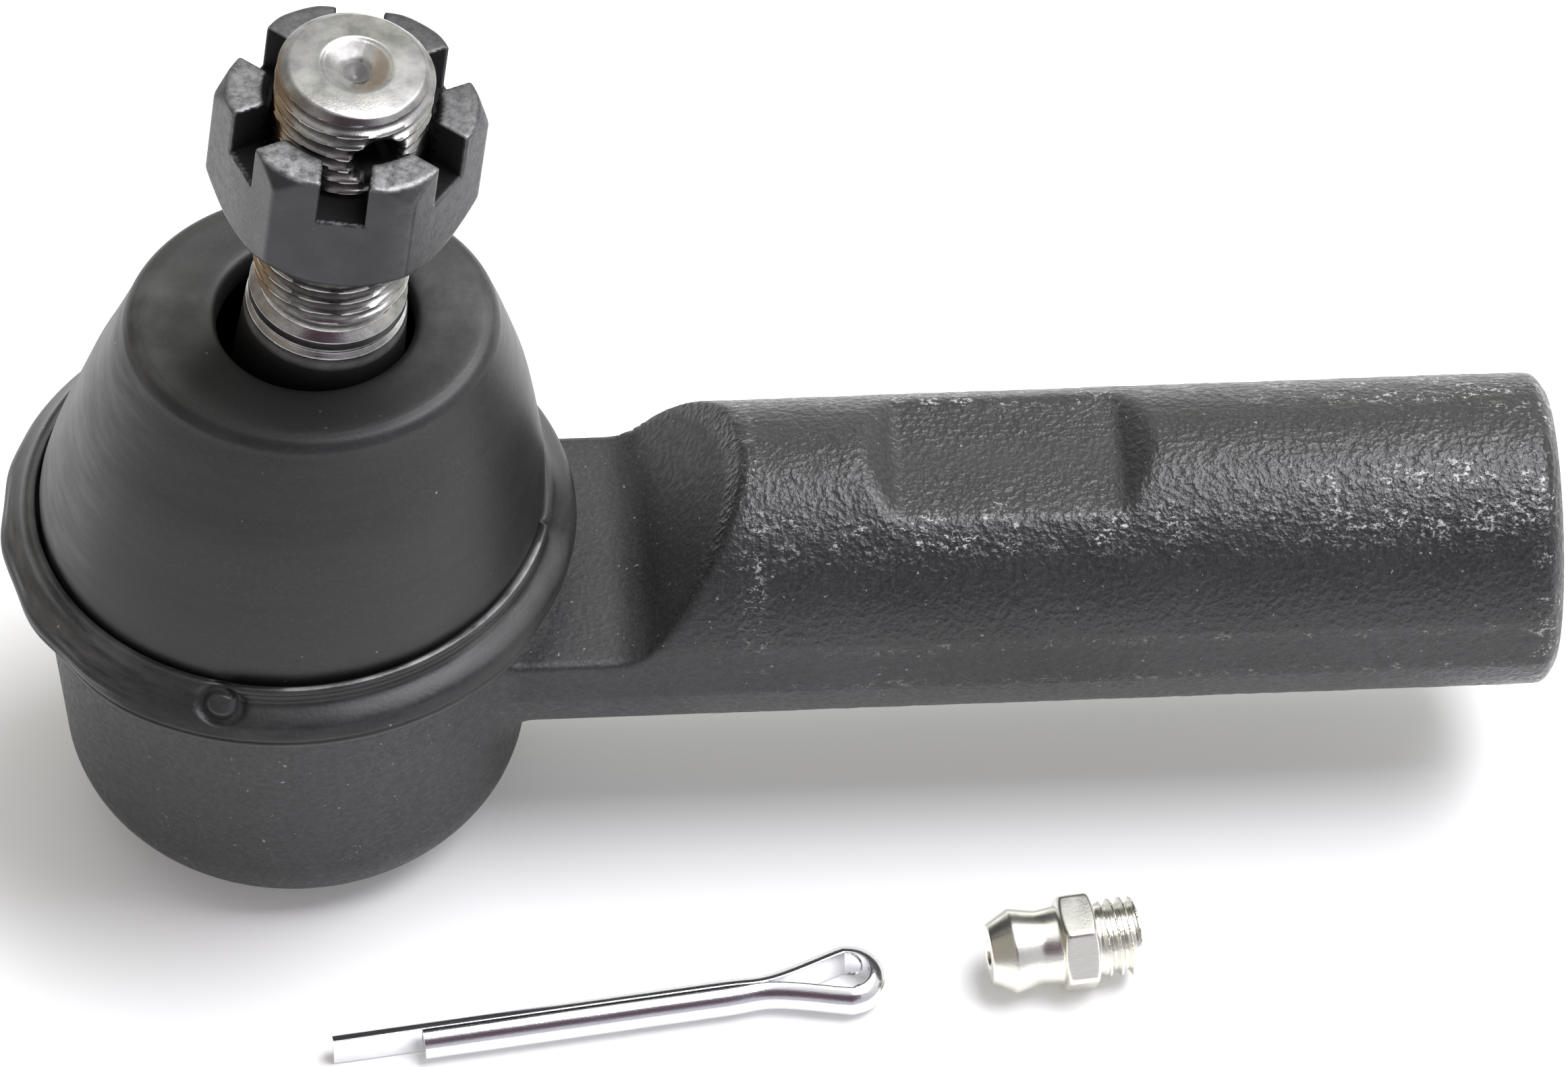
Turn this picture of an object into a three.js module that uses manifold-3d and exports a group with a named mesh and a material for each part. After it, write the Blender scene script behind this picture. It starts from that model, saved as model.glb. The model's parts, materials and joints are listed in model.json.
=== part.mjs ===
// Tie rod end: a forged ball-joint housing with an internally threaded shank, its ball stud with a
// castle nut, a rubber dust boot, and the loose cotter pin and grease fitting that go with it.
// Millimetres, +Z up. The ball's centre line stands at (socketX, socketY), the shank runs along +X,
// and the origin lies under the middle of the whole set, on the surface that it stands on.

import * as THREE from 'three';
import { mergeVertices } from 'three/addons/utils/BufferGeometryUtils.js';
import Module from 'manifold-3d';

const wasm = await Module();
wasm.setup();

// ---- Driving dimensions ----

const clearance = 0.3; // gap kept between neighbouring pieces
const socketX = -38.4; // ball centre line
const socketY = 5;

const ballHeight = 22.4; // ball centre above the foot of the socket
const ballRadius = 10.8;
const studLean = THREE.MathUtils.degToRad(6.65); // resting lean of the stud
const studLeanDirection = THREE.MathUtils.degToRad(-17.3); // towards the shank and a little forward

const footRadius = 10.3; // flat ring that the socket stands on
const footFillet = 8;
const shoulderRadius = 19.7; // top of the tapered socket wall
const shoulderHeight = 26.2;
const collarRadius = 15.4;
const collarHeight = 32.6;
const socketBore = 13.3;
const mouthRadius = 10; // narrowest part of the stud opening

const shankRadius = 12.3;
const shankHeight = 22.1; // height of the shank's axis
const shankEnd = 99.3; // from the ball centre line to the open end
const shankChamfer = point(1.5, 1.1); // inwards and along
const shankBore = 7.2; // minor radius of an M16 x 1.5 thread
const shankBoreStart = 44;
const neckTop = 23.4; // flat cut over the neck
const neckSlope = THREE.MathUtils.degToRad(52);
const neckSlopeFoot = 26.9; // where the slope would meet the flat
const neckFillet = 4;
const wrenchFlatStart = 47.4;
const wrenchFlatEnd = 65;
const wrenchFlatDepth = 1.7;
const wrenchFlatRun = 2.4; // length of the slope at each end

const plateRadius = 13.7;
const plateBottom = 1.8;
const plateThickness = 2.4;
const greaseHoleRadius = 2.75;

const springWire = 0.7;
const springFootRadius = 9.6;
const springTopRadius = 7;
const springTurns = 1.6;
const seatBottom = 9;
const seatRim = 15.4;
const linerBottom = 16;
const linerTop = 28.6;

const headBottom = -9.4; // the stud's round head, from the ball centre
const headTop = -3.3;
const halfBallTop = 7.6;
const neckRadius = 5.8; // stud just above the ball
const studEnd = 59.5; // all stud heights are from the ball centre
const taperStart = 14.5;
const taperEnd = 32.9;
const taperBigRadius = 7.2;
const taperSmallRadius = 6.2;
const threadRadius = 6; // M12 x 1.25
const threadStart = 36.6;
const reliefRadius = 5.3; // groove below the thread
const bandRadius = 6.05; // plain band below the groove
const dimpleRadius = 2.6; // centre dimple in the stud's end
const crossHoleRadius = 1.8;
const crossHoleHeight = 54.9;
const crossHoleTurn = THREE.MathUtils.degToRad(-54);

const nutAcrossFlats = 18;
const nutBottom = 44.6;
const nutTop = 55.8;
const nutSlotWidth = 3.6;
const nutSlotFloor = 51.6;
const nutTopFace = 9.4; // radius at the chamfers' inner edges
const nutBottomFace = 9;
const nutChamfer = THREE.MathUtils.degToRad(53);
const nutTurn = THREE.MathUtils.degToRad(-17.8);

const beadRadius = 22.5;
const beadBottom = 26.5;
const beadTop = 29.4; // inside the cone's foot
const beadCrest = 31.6; // outside it
const bootBottom = 29.7;
const bootFootRadius = 19.9;
const bootTop = 52.5;
const bootHoleRadius = 7.6;
const bootWall = 2;
const bootShiftX = 2.5; // how far the boot's top is pushed over by the leaning stud
const bootBulgeX = 0.95; // how much further over its middle stands
const bootShiftY = -0.45;
const bootNarrowing = 0.07; // the top is squeezed front to back by this share
const bootHoleShift = 0.35; // how much further over the stud's hole is, both ways

const pinRadius = 1.38; // folded cotter pin, 3.2 mm nominal
const pinShortLegStart = 7.05;
const pinEyeRadius = 1.72; // inside the eye
const pinEyeCentre = 40.9;
const pinNeck = 35.6;
const pinPosition = new THREE.Vector3(2.06, -31.95, pinRadius);
const pinTurn = THREE.MathUtils.degToRad(7.57);

const fittingLength = 11.9; // 1/4-28 grease fitting
const fittingHexStart = 5.6;
const fittingHexEnd = 8.4;
const fittingAcrossFlats = 7.14;
const fittingThreadRadius = 3.1;
const fittingBore = 1.6;
const fittingBallRadius = 1.25;
const fittingBallSeat = 2.6;
const fittingTurn = THREE.MathUtils.degToRad(7);
const fittingPosition = new THREE.Vector3(53.6, -26.2, fittingAcrossFlats / 2);

// ---- Helpers ----

const up = new THREE.Vector3(0, 0, 1);

function point(r, z) {
  return new THREE.Vector2(r, z);
}

// Points on an arc about (cr, cz), both ends included.
function arc(cr, cz, radius, startDegrees, endDegrees, steps) {
  const points = [];
  for (let i = 0; i <= steps; i += 1) {
    const a = THREE.MathUtils.degToRad(startDegrees + ((endDegrees - startDegrees) * i) / steps);
    points.push(point(cr + radius * Math.cos(a), cz + radius * Math.sin(a)));
  }
  return points;
}

// Points on a sphere about the origin, from one height to another.
function sphereArc(radius, startZ, endZ, steps) {
  const start = THREE.MathUtils.radToDeg(Math.asin(startZ / radius));
  const end = THREE.MathUtils.radToDeg(Math.asin(endZ / radius));
  return arc(0, 0, radius, start, end, steps);
}

// A solid of revolution about Z. The outline runs anticlockwise, with the axis on its left.
function revolve(outline, segments) {
  const geometry = new THREE.LatheGeometry(outline, segments);
  geometry.rotateX(Math.PI / 2);
  return geometry;
}

// The same for an outline that closes on itself, as a ring does.
function revolveRing(outline, segments) {
  return revolve([...outline, outline[0]], segments);
}

// An outline in X and Z, extruded across the object by half a width each way.
function extrudeAcross(outline, halfWidth) {
  const geometry = new THREE.ExtrudeGeometry(new THREE.Shape(outline), {
    depth: 2 * halfWidth,
    bevelEnabled: false,
  });
  geometry.rotateX(Math.PI / 2);
  geometry.translate(0, halfWidth, 0);
  return geometry;
}

function solidOf(geometry) {
  const bare = geometry.clone();
  bare.deleteAttribute('normal');
  bare.deleteAttribute('uv');
  const merged = mergeVertices(bare, 1e-4);
  const corners = merged.index.array;
  const triangles = [];
  for (let i = 0; i < corners.length; i += 3) {
    const [a, b, c] = corners.slice(i, i + 3);
    if (a !== b && b !== c && c !== a) {
      triangles.push(a, b, c);
    }
  }
  return new wasm.Manifold(
    new wasm.Mesh({
      numProp: 3,
      vertProperties: merged.attributes.position.array,
      triVerts: new Uint32Array(triangles),
    }),
  );
}

function geometryOf(solid) {
  const { vertProperties, triVerts } = solid.getMesh();
  const geometry = new THREE.BufferGeometry();
  geometry.setAttribute('position', new THREE.BufferAttribute(vertProperties, 3));
  geometry.setIndex(new THREE.BufferAttribute(triVerts, 1));
  geometry.computeVertexNormals();
  return geometry;
}

function subtract(base, ...cutters) {
  const cut = cutters.reduce((solid, cutter) => solid.subtract(solidOf(cutter)), solidOf(base));
  return geometryOf(cut);
}

// A helix about Z whose radius and height both change evenly from end to end.
class Coil extends THREE.Curve {
  constructor(startRadius, endRadius, startZ, endZ, turns) {
    super();
    Object.assign(this, { startRadius, endRadius, startZ, endZ, turns });
  }

  getPoint(t, target = new THREE.Vector3()) {
    const angle = 2 * Math.PI * this.turns * t;
    const radius = THREE.MathUtils.lerp(this.startRadius, this.endRadius, t);
    const z = THREE.MathUtils.lerp(this.startZ, this.endZ, t);
    return target.set(radius * Math.cos(angle), radius * Math.sin(angle), z);
  }
}

function wireAlong(curve, wireRadius, sides, steps) {
  const section = new THREE.Shape(
    Array.from({ length: sides }, (_, i) => {
      const a = (2 * Math.PI * i) / sides;
      return point(wireRadius * Math.cos(a), wireRadius * Math.sin(a));
    }),
  );
  return new THREE.ExtrudeGeometry(section, { steps, extrudePath: curve, bevelEnabled: false });
}

function piece(name, geometry, { color, roughness, metalness }) {
  const mesh = new THREE.Mesh(geometry, new THREE.MeshStandardMaterial({ color, roughness, metalness }));
  mesh.name = name;
  return mesh;
}

// ---- Materials ----

const forging = { color: 0x2c2d2e, roughness: 0.6, metalness: 0.6 };
const pressedSteel = { color: 0x55575a, roughness: 0.45, metalness: 0.9 };
const springSteel = { color: 0x3b3d40, roughness: 0.35, metalness: 0.9 };
const sinteredSteel = { color: 0x6a6a68, roughness: 0.55, metalness: 0.8 };
const bearingPlastic = { color: 0xd8d4c4, roughness: 0.5, metalness: 0 };
const groundSteel = { color: 0xb9bbbd, roughness: 0.22, metalness: 1 };
const blackOxide = { color: 0x26272b, roughness: 0.4, metalness: 0.7 };
const bootRubber = { color: 0x242526, roughness: 0.62, metalness: 0 };
const zincPlate = { color: 0xc9ccd2, roughness: 0.25, metalness: 1 };
const yellowZinc = { color: 0xcfcdbb, roughness: 0.28, metalness: 1 };
const bearingBallSteel = { color: 0xd5d7da, roughness: 0.1, metalness: 1 };

// ---- Housing ----

// The forging: a tapered cup with a collar for the boot, and the round shank that grows out of it.
function makeHousing() {
  const cup = revolve(
    [
      point(0, 0),
      ...arc(footRadius, footFillet, footFillet, -90, 0, 7),
      point(shoulderRadius, shoulderHeight),
      point(collarRadius, shoulderHeight),
      point(collarRadius, collarHeight - 0.6),
      point(collarRadius - 0.6, collarHeight),
      point(0, collarHeight),
    ],
    48,
  );
  const shank = revolve(
    [
      point(0, 2),
      point(shankRadius, 2),
      point(shankRadius, shankEnd - shankChamfer.y),
      point(shankRadius - shankChamfer.x, shankEnd),
      point(0, shankEnd),
    ],
    48,
  );
  shank.rotateY(Math.PI / 2);
  shank.translate(0, 0, shankHeight);

  const joined = solidOf(cup).add(
    solidOf(shank)
      .subtract(solidOf(makeNeckCut()))
      .subtract(solidOf(makeWrenchFlatCut(1)))
      .subtract(solidOf(makeWrenchFlatCut(-1))),
  );
  return geometryOf(joined.subtract(solidOf(makeSocketHollow())).subtract(solidOf(makeShankHollow())));
}

// What is cut away over the neck: a flat, a fillet, and a slope up to the top of the shank.
function makeNeckCut() {
  const slopeDegrees = THREE.MathUtils.radToDeg(neckSlope);
  const filletStart = neckSlopeFoot - neckFillet * Math.tan(neckSlope / 2);
  const top = shankHeight + shankRadius + 1;
  const topX = neckSlopeFoot + (top - neckTop) / Math.tan(neckSlope);
  return extrudeAcross(
    [
      point(1, neckTop),
      ...arc(filletStart, neckTop + neckFillet, neckFillet, -90, slopeDegrees - 90, 5),
      point(topX, top),
      point(1, top),
    ],
    shankRadius + 1,
  );
}

// One of the two wrench flats, with sloped ends: side is 1 for the top and -1 for the bottom.
function makeWrenchFlatCut(side) {
  const floor = shankRadius - wrenchFlatDepth;
  const top = shankRadius + wrenchFlatDepth;
  const run = 2 * wrenchFlatRun;
  const outline = [
    point(wrenchFlatStart, floor),
    point(wrenchFlatEnd, floor),
    point(wrenchFlatEnd + run, top),
    point(wrenchFlatStart - run, top),
  ];
  const cut = extrudeAcross(outline, shankRadius);
  if (side < 0) {
    cut.rotateX(Math.PI);
  }
  cut.translate(0, 0, shankHeight);
  return cut;
}

// The bore that holds the bearing, the recess for the cover plate under it, and the stud's opening.
function makeSocketHollow() {
  const lipTop = plateBottom - clearance;
  const recessTop = plateBottom + plateThickness + clearance;
  return revolve(
    [
      point(0, -1),
      point(footRadius - 1.8, -1),
      point(footRadius - 1.8, 0.6),
      point(footRadius - 1, lipTop),
      point(plateRadius + clearance, lipTop),
      point(plateRadius + clearance, recessTop),
      point(socketBore, recessTop),
      point(socketBore, 25),
      point(mouthRadius, 30),
      point(mouthRadius + 1.2, collarHeight),
      point(mouthRadius + 1.2, collarHeight + 1),
      point(0, collarHeight + 1),
    ],
    48,
  );
}

function makeShankHollow() {
  const hollow = revolve(
    [
      point(0, shankBoreStart - 4),
      point(shankBore, shankBoreStart),
      point(shankBore, shankEnd - 1.2),
      point(shankBore + 1.2, shankEnd),
      point(shankBore + 1.2, shankEnd + 1),
      point(0, shankEnd + 1),
    ],
    32,
  );
  hollow.rotateY(Math.PI / 2);
  hollow.translate(0, 0, shankHeight);
  return hollow;
}

// ---- Inside the socket ----

// The plate that closes the socket, with the threaded hole for the grease fitting in its boss.
function makeCoverPlate() {
  const top = plateBottom + plateThickness;
  return revolveRing(
    [
      point(greaseHoleRadius, plateBottom),
      point(plateRadius, plateBottom),
      point(plateRadius, top),
      point(5.4, top),
      point(5, top + 1.4),
      point(greaseHoleRadius, top + 1.4),
    ],
    40,
  );
}

function makePreloadSpring() {
  const start = plateBottom + plateThickness + clearance + springWire;
  const end = seatBottom - clearance - springWire;
  return wireAlong(new Coil(springFootRadius, springTopRadius, start, end, springTurns), springWire, 8, 36);
}

// The dished seat that the spring pushes up against the head of the stud.
function makePressureSeat() {
  const dish = ballRadius + 0.2;
  const hole = 1.5;
  const outline = [
    point(hole, seatBottom),
    point(socketBore - 1, seatBottom),
    point(socketBore - clearance, seatBottom + 1),
    point(socketBore - clearance, seatRim),
    ...sphereArc(dish, seatRim - ballHeight, -Math.sqrt(dish ** 2 - hole ** 2), 6).map((p) =>
      point(p.x, p.y + ballHeight),
    ),
  ];
  return revolveRing(outline, 40);
}

// The moulded liner that the half ball swings in. It can turn in the bore of the socket.
function makeBearingLiner() {
  const inner = ballRadius + clearance;
  const outer = socketBore - clearance;
  const outline = [
    point(outer, linerBottom),
    point(outer, 24.8),
    point(10.6, linerTop),
    ...sphereArc(inner, linerTop - ballHeight, linerBottom - ballHeight, 8).map((p) =>
      point(p.x, p.y + ballHeight),
    ),
  ];
  return revolveRing(outline, 48);
}

// ---- Stud, in its own frame: origin at the ball centre, +Z along the stud ----

// The hardened half ball around the stud's neck, which the stud spins in.
function makeHalfBall() {
  const bore = neckRadius + clearance + 0.05;
  const bottom = headTop + clearance + 0.05;
  return revolveRing(
    [
      point(bore, bottom),
      ...sphereArc(ballRadius, bottom, halfBallTop, 9),
      point(bore, halfBallTop),
    ],
    48,
  );
}

// The stud: a round head, a neck, a taper, a relief groove, the threaded end and its centre dimple.
function makeBallStud() {
  const head = ballRadius - 0.2;
  const body = revolve(
    [
      point(0, headBottom),
      ...sphereArc(head, headBottom, headTop, 5),
      point(neckRadius, headTop),
      point(neckRadius, 11),
      point(taperBigRadius, taperStart),
      point(taperSmallRadius, taperEnd),
      point(bandRadius - 0.2, taperEnd + 0.4),
      point(bandRadius, taperEnd + 0.9),
      point(bandRadius, taperEnd + 1.7),
      point(reliefRadius, taperEnd + 2.2),
      point(reliefRadius, threadStart - 0.7),
      point(threadRadius, threadStart),
      point(threadRadius, studEnd - 0.9),
      point(threadRadius - 1, studEnd),
      point(dimpleRadius, studEnd),
      point(0, studEnd - 1.5),
    ],
    40,
  );
  const hole = new THREE.CylinderGeometry(crossHoleRadius, crossHoleRadius, 4 * threadRadius, 16);
  hole.rotateZ(Math.PI / 2);
  hole.rotateZ(crossHoleTurn);
  hole.translate(0, 0, crossHoleHeight);
  return subtract(body, hole);
}

// The castle nut: a chamfered hexagon with a slot across the top of each flat.
function makeCastleNut() {
  const height = nutTop - nutBottom;
  const corner = nutAcrossFlats / Math.sqrt(3);
  const hexagon = new THREE.CylinderGeometry(corner, corner, height, 6);
  hexagon.rotateX(Math.PI / 2);
  hexagon.translate(0, 0, nutBottom + height / 2);
  const chamferSlope = Math.tan(nutChamfer);
  const widest = corner + 1;
  const chamfered = revolve(
    [
      point(0, nutBottom),
      point(nutBottomFace, nutBottom),
      point(widest, nutBottom + (widest - nutBottomFace) * chamferSlope),
      point(widest, nutTop - (widest - nutTopFace) * chamferSlope),
      point(nutTopFace, nutTop),
      point(0, nutTop),
    ],
    48,
  );
  const bore = threadRadius + clearance + 0.05;
  const hole = revolve(
    [
      point(0, nutBottom - 1),
      point(bore + 0.8, nutBottom - 1),
      point(bore + 0.8, nutBottom),
      point(bore, nutBottom + 0.8),
      point(bore, nutTop + 1),
      point(0, nutTop + 1),
    ],
    32,
  );
  const slots = [0, 60, 120].map((degrees) => {
    const depth = nutTop - nutSlotFloor + 1;
    const slot = new THREE.BoxGeometry(3 * nutAcrossFlats, nutSlotWidth, depth);
    slot.translate(0, 0, nutSlotFloor + depth / 2);
    slot.rotateZ(THREE.MathUtils.degToRad(degrees));
    return slot;
  });
  const blank = geometryOf(solidOf(hexagon).intersect(solidOf(chamfered)));
  return subtract(blank, hole, ...slots);
}

// ---- Boot ----

// Pushes the boot sideways in step with its height, as the leaning stud does. The rim is squeezed
// front to back, while the hole stays round and goes a little further, with the stud.
function leanWithStud(geometry) {
  const position = geometry.attributes.position;
  for (let i = 0; i < position.count; i += 1) {
    const x = position.getX(i);
    const y = position.getY(i);
    const share = (position.getZ(i) - bootBottom) / (bootTop - bootBottom);
    const rim = THREE.MathUtils.smoothstep(Math.hypot(x, y), bootHoleRadius, 13);
    const squeeze = 1 - bootNarrowing * rim * share ** 2;
    const bulge = bootBulgeX * share * (1 - share);
    position.setX(i, x + bulge + share * (bootShiftX + (1 - rim) * bootHoleShift));
    position.setY(i, y * squeeze + share * (bootShiftY + (1 - rim) * bootHoleShift));
  }
  return geometry;
}

// The rubber cone, open round the stud at the top and round the socket's collar at the bottom.
function makeDustBoot() {
  const outside = [
    point(bootFootRadius, bootBottom),
    point(bootFootRadius - 0.1, 32.5),
    point(19.1, 35.8),
    point(18.2, 39.5),
    point(17.2, 43.5),
    point(16.35, 46),
    point(15.2, 49.2),
    point(14.5, 51.6),
    point(13.8, bootTop),
    point(bootHoleRadius + 0.5, bootTop - 0.2),
    point(bootHoleRadius, bootTop - 0.7),
  ];
  const inside = [
    point(bootHoleRadius, bootTop - bootWall - 0.3),
    point(12.4, bootTop - bootWall - 0.5),
    point(14.3, 46),
    point(16.2, 39.5),
    point(17.7, 33),
    point(17.9, bootBottom),
  ];
  return leanWithStud(revolveRing([...outside, ...inside], 40));
}

// The boot's base bead, with a bevel that rises round the cone's foot, and the channel inside it
// that holds the steel insert ring.
function makeBootBead() {
  const crestRadius = bootFootRadius + clearance + 0.1;
  return revolveRing(
    [
      point(16.2, beadBottom),
      point(20.6, beadBottom),
      point(beadRadius, beadBottom + 1.7),
      point(beadRadius, beadBottom + 2.6),
      point(crestRadius + 0.5, beadCrest),
      point(crestRadius, beadCrest),
      point(crestRadius, beadTop),
      point(16.2, beadTop),
      point(16.2, beadTop - 0.7),
      point(19.2, beadTop - 0.7),
      point(19.2, beadBottom + 0.7),
      point(16.2, beadBottom + 0.7),
    ],
    48,
  );
}

// The pressed steel ring in the bead, which grips the socket's collar.
function makeBootInsertRing() {
  const bottom = beadBottom + 0.7 + clearance;
  const top = beadTop - 0.7 - clearance;
  return revolveRing(
    [
      point(collarRadius + clearance, bottom),
      point(19.2 - clearance, bottom),
      point(19.2 - clearance, top),
      point(collarRadius + clearance, top),
    ],
    40,
  );
}

// ---- Loose hardware ----

// One half-round wire folded back on itself, with a drop-shaped eye at the fold. It lies along +X.
function makeCotterPinPath() {
  const legGap = 0.1; // half the gap between the two legs
  const rise = THREE.MathUtils.radToDeg(Math.asin((pinEyeRadius - legGap) / (pinEyeCentre - pinNeck)));
  const points = [];
  const legSteps = 4;
  for (let i = 0; i < legSteps; i += 1) {
    points.push(new THREE.Vector3((pinNeck * i) / legSteps, legGap, 0));
  }
  points.push(new THREE.Vector3(pinNeck - 0.6, legGap, 0));
  for (const p of arc(pinEyeCentre, 0, pinEyeRadius, 90 + rise, -90 - rise, 12)) {
    points.push(new THREE.Vector3(p.x, p.y, 0));
  }
  points.push(new THREE.Vector3(pinNeck - 0.6, -legGap, 0));
  for (let i = legSteps - 1; i > 0; i -= 1) {
    points.push(new THREE.Vector3((pinNeck * i) / legSteps, -legGap, 0));
  }
  points.push(new THREE.Vector3(pinShortLegStart, -legGap, 0));
  return new THREE.CatmullRomCurve3(points, false, 'centripetal');
}

function makeCotterPin() {
  const halfRound = new THREE.Shape(arc(0, 0, pinRadius, 0, 180, 6));
  return new THREE.ExtrudeGeometry(halfRound, {
    steps: 96,
    extrudePath: makeCotterPinPath(),
    bevelEnabled: false,
  });
}

// The grease fitting along +Z from its nipple end: nipple, hexagon and threaded end, bored through.
function makeGreaseFitting() {
  const body = revolve(
    [
      point(0, 0),
      point(2.35, 0),
      point(3.35, 1.8),
      point(3.25, 2.4),
      point(2.9, 4),
      point(3.1, fittingHexStart + 0.2),
      point(fittingThreadRadius - 0.3, fittingHexStart + 0.5),
      point(fittingThreadRadius - 0.3, fittingHexEnd + 0.4),
      point(fittingThreadRadius, fittingHexEnd + 0.8),
      point(fittingThreadRadius, fittingLength - 0.5),
      point(fittingThreadRadius - 0.5, fittingLength),
      point(0, fittingLength),
    ],
    24,
  );
  const corner = fittingAcrossFlats / Math.sqrt(3);
  const height = fittingHexEnd - fittingHexStart;
  const hexagon = new THREE.CylinderGeometry(corner, corner, height, 6);
  hexagon.rotateX(Math.PI / 2);
  hexagon.translate(0, 0, fittingHexStart + height / 2);
  const bore = revolve(
    [
      point(0, -1),
      point(0.85, -1),
      point(0.85, 1),
      point(fittingBore, 1.9),
      point(fittingBore, fittingLength + 1),
      point(0, fittingLength + 1),
    ],
    16,
  );
  return geometryOf(solidOf(body).add(solidOf(hexagon)).subtract(solidOf(bore)));
}

function makeFittingBall() {
  const ball = new THREE.SphereGeometry(fittingBallRadius, 14, 10);
  ball.rotateX(Math.PI / 2);
  ball.translate(0, 0, fittingBallSeat);
  return ball;
}

function makeFittingSpring() {
  const wire = 0.2;
  const start = fittingBallSeat + fittingBallRadius + clearance + wire;
  return wireAlong(new Coil(0.95, 0.95, start, fittingLength - 0.8, 4.5), wire, 6, 54);
}

// ---- Assembly ----

const socket = new THREE.Group();
socket.add(
  piece('housing', makeHousing(), forging),
  piece('cover_plate', makeCoverPlate(), pressedSteel),
  piece('preload_spring', makePreloadSpring(), springSteel),
  piece('pressure_seat', makePressureSeat(), sinteredSteel),
  piece('bearing_liner', makeBearingLiner(), bearingPlastic),
  piece('dust_boot', makeDustBoot(), bootRubber),
  piece('boot_bead', makeBootBead(), bootRubber),
  piece('boot_insert_ring', makeBootInsertRing(), pressedSteel),
);

const stud = new THREE.Group();
stud.position.set(0, 0, ballHeight);
stud.rotation.set(0, studLean, studLeanDirection, 'ZYX');
stud.add(piece('half_ball', makeHalfBall(), sinteredSteel), piece('ball_stud', makeBallStud(), groundSteel));
const castleNut = piece('castle_nut', makeCastleNut(), blackOxide);
castleNut.rotateOnAxis(up, nutTurn);
stud.add(castleNut);

const cotterPin = piece('cotter_pin', makeCotterPin(), zincPlate);
cotterPin.position.copy(pinPosition);
cotterPin.rotateOnAxis(up, pinTurn);

const fitting = new THREE.Group();
fitting.position.copy(fittingPosition);
fitting.rotation.set(0, Math.PI / 2, fittingTurn, 'ZYX');
fitting.add(
  piece('grease_fitting', makeGreaseFitting(), yellowZinc),
  piece('fitting_ball', makeFittingBall(), bearingBallSteel),
  piece('fitting_spring', makeFittingSpring(), springSteel),
);

const tieRodEnd = new THREE.Group();
tieRodEnd.position.set(socketX, socketY, 0);
tieRodEnd.add(socket, stud, cotterPin, fitting);

export default tieRodEnd;
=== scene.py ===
"""Looks for the tie rod end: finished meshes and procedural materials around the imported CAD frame.

Shapes are worked out in millimetres in the frame of the thing they belong to (the socket, the stud,
the cotter pin, the grease fitting), and are placed in the part's frame, in metres, as they are made.
"""

import json
import math

import bpy
import numpy as np
from mathutils import Matrix, Vector, noise


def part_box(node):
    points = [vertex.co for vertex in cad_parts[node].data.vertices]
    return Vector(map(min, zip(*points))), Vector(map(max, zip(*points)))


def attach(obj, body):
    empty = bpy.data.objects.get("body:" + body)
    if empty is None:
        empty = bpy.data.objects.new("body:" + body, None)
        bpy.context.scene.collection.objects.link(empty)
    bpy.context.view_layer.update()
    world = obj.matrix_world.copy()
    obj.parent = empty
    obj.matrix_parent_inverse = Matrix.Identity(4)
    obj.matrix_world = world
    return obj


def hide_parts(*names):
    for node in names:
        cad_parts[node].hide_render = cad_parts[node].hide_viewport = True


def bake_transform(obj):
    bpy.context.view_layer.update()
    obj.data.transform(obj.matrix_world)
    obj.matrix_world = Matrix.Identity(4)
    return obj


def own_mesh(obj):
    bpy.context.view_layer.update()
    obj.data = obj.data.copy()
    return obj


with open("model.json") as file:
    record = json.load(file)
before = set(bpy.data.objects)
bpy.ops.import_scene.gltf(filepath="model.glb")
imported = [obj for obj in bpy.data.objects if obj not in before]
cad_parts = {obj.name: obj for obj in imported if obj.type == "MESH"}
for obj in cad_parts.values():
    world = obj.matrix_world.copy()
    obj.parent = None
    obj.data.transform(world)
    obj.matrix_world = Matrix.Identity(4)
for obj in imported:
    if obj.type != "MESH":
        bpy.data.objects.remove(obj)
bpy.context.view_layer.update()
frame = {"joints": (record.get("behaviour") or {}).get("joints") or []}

MM = 0.001
HEXAGON_TURNS = (0, 60, 120)  # degrees: the directions square to a hexagon's three pairs of flats

# ---- Driving dimensions, in millimetres ----

ball_height = 22.4
ball_radius = 10.8
foot_radius = 10.3
foot_fillet = 8
shoulder_radius = 19.7
shoulder_height = 26.2
collar_radius = 15.4
collar_height = 32.6
socket_bore = 13.3
mouth_radius = 10

shank_radius = 12.3
shank_height = 22.1
shank_end = 99.3
shank_chamfer_depth = 1.5
shank_chamfer_length = 1.1
shank_bore = 7.2
shank_bore_start = 44
parting_half_width = 12.05
neck_top = 23.4
neck_slope = math.radians(52)
neck_slope_foot = 26.9
neck_fillet = 4
wrench_flat_start = 47.4
wrench_flat_end = 65
wrench_flat_depth = 1.7
wrench_flat_run = 2.4

clearance = 0.3
plate_radius = 13.7
plate_bottom = 1.8
plate_thickness = 2.4
grease_hole_radius = 2.75
seat_bottom = 9
seat_rim = 15.4
liner_bottom = 16
liner_top = 28.6

head_bottom = -9.4
head_top = -3.3
half_ball_top = 7.6
stud_neck_radius = 5.8
stud_end = 59.5
thread_radius = 6
thread_pitch = 1.25
thread_start = 36.6
thread_end = 58.6
dimple_radius = 2.6
cross_hole_radius = 1.8
cross_hole_height = 54.9
cross_hole_turn = math.radians(-54)

nut_across_flats = 18
nut_bottom = 44.6
nut_top = 55.8
nut_slot_width = 3.6
nut_slot_floor = 51.6
nut_turn = math.radians(-17.8)

bead_bottom = 26.5
bead_top = 29.4
bead_crest = 31.6
ring_groove_radius = 19.2
ring_cover = 0.7
boot_bottom = 29.7
boot_top = 52.5
boot_hole_radius = 7.6

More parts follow.
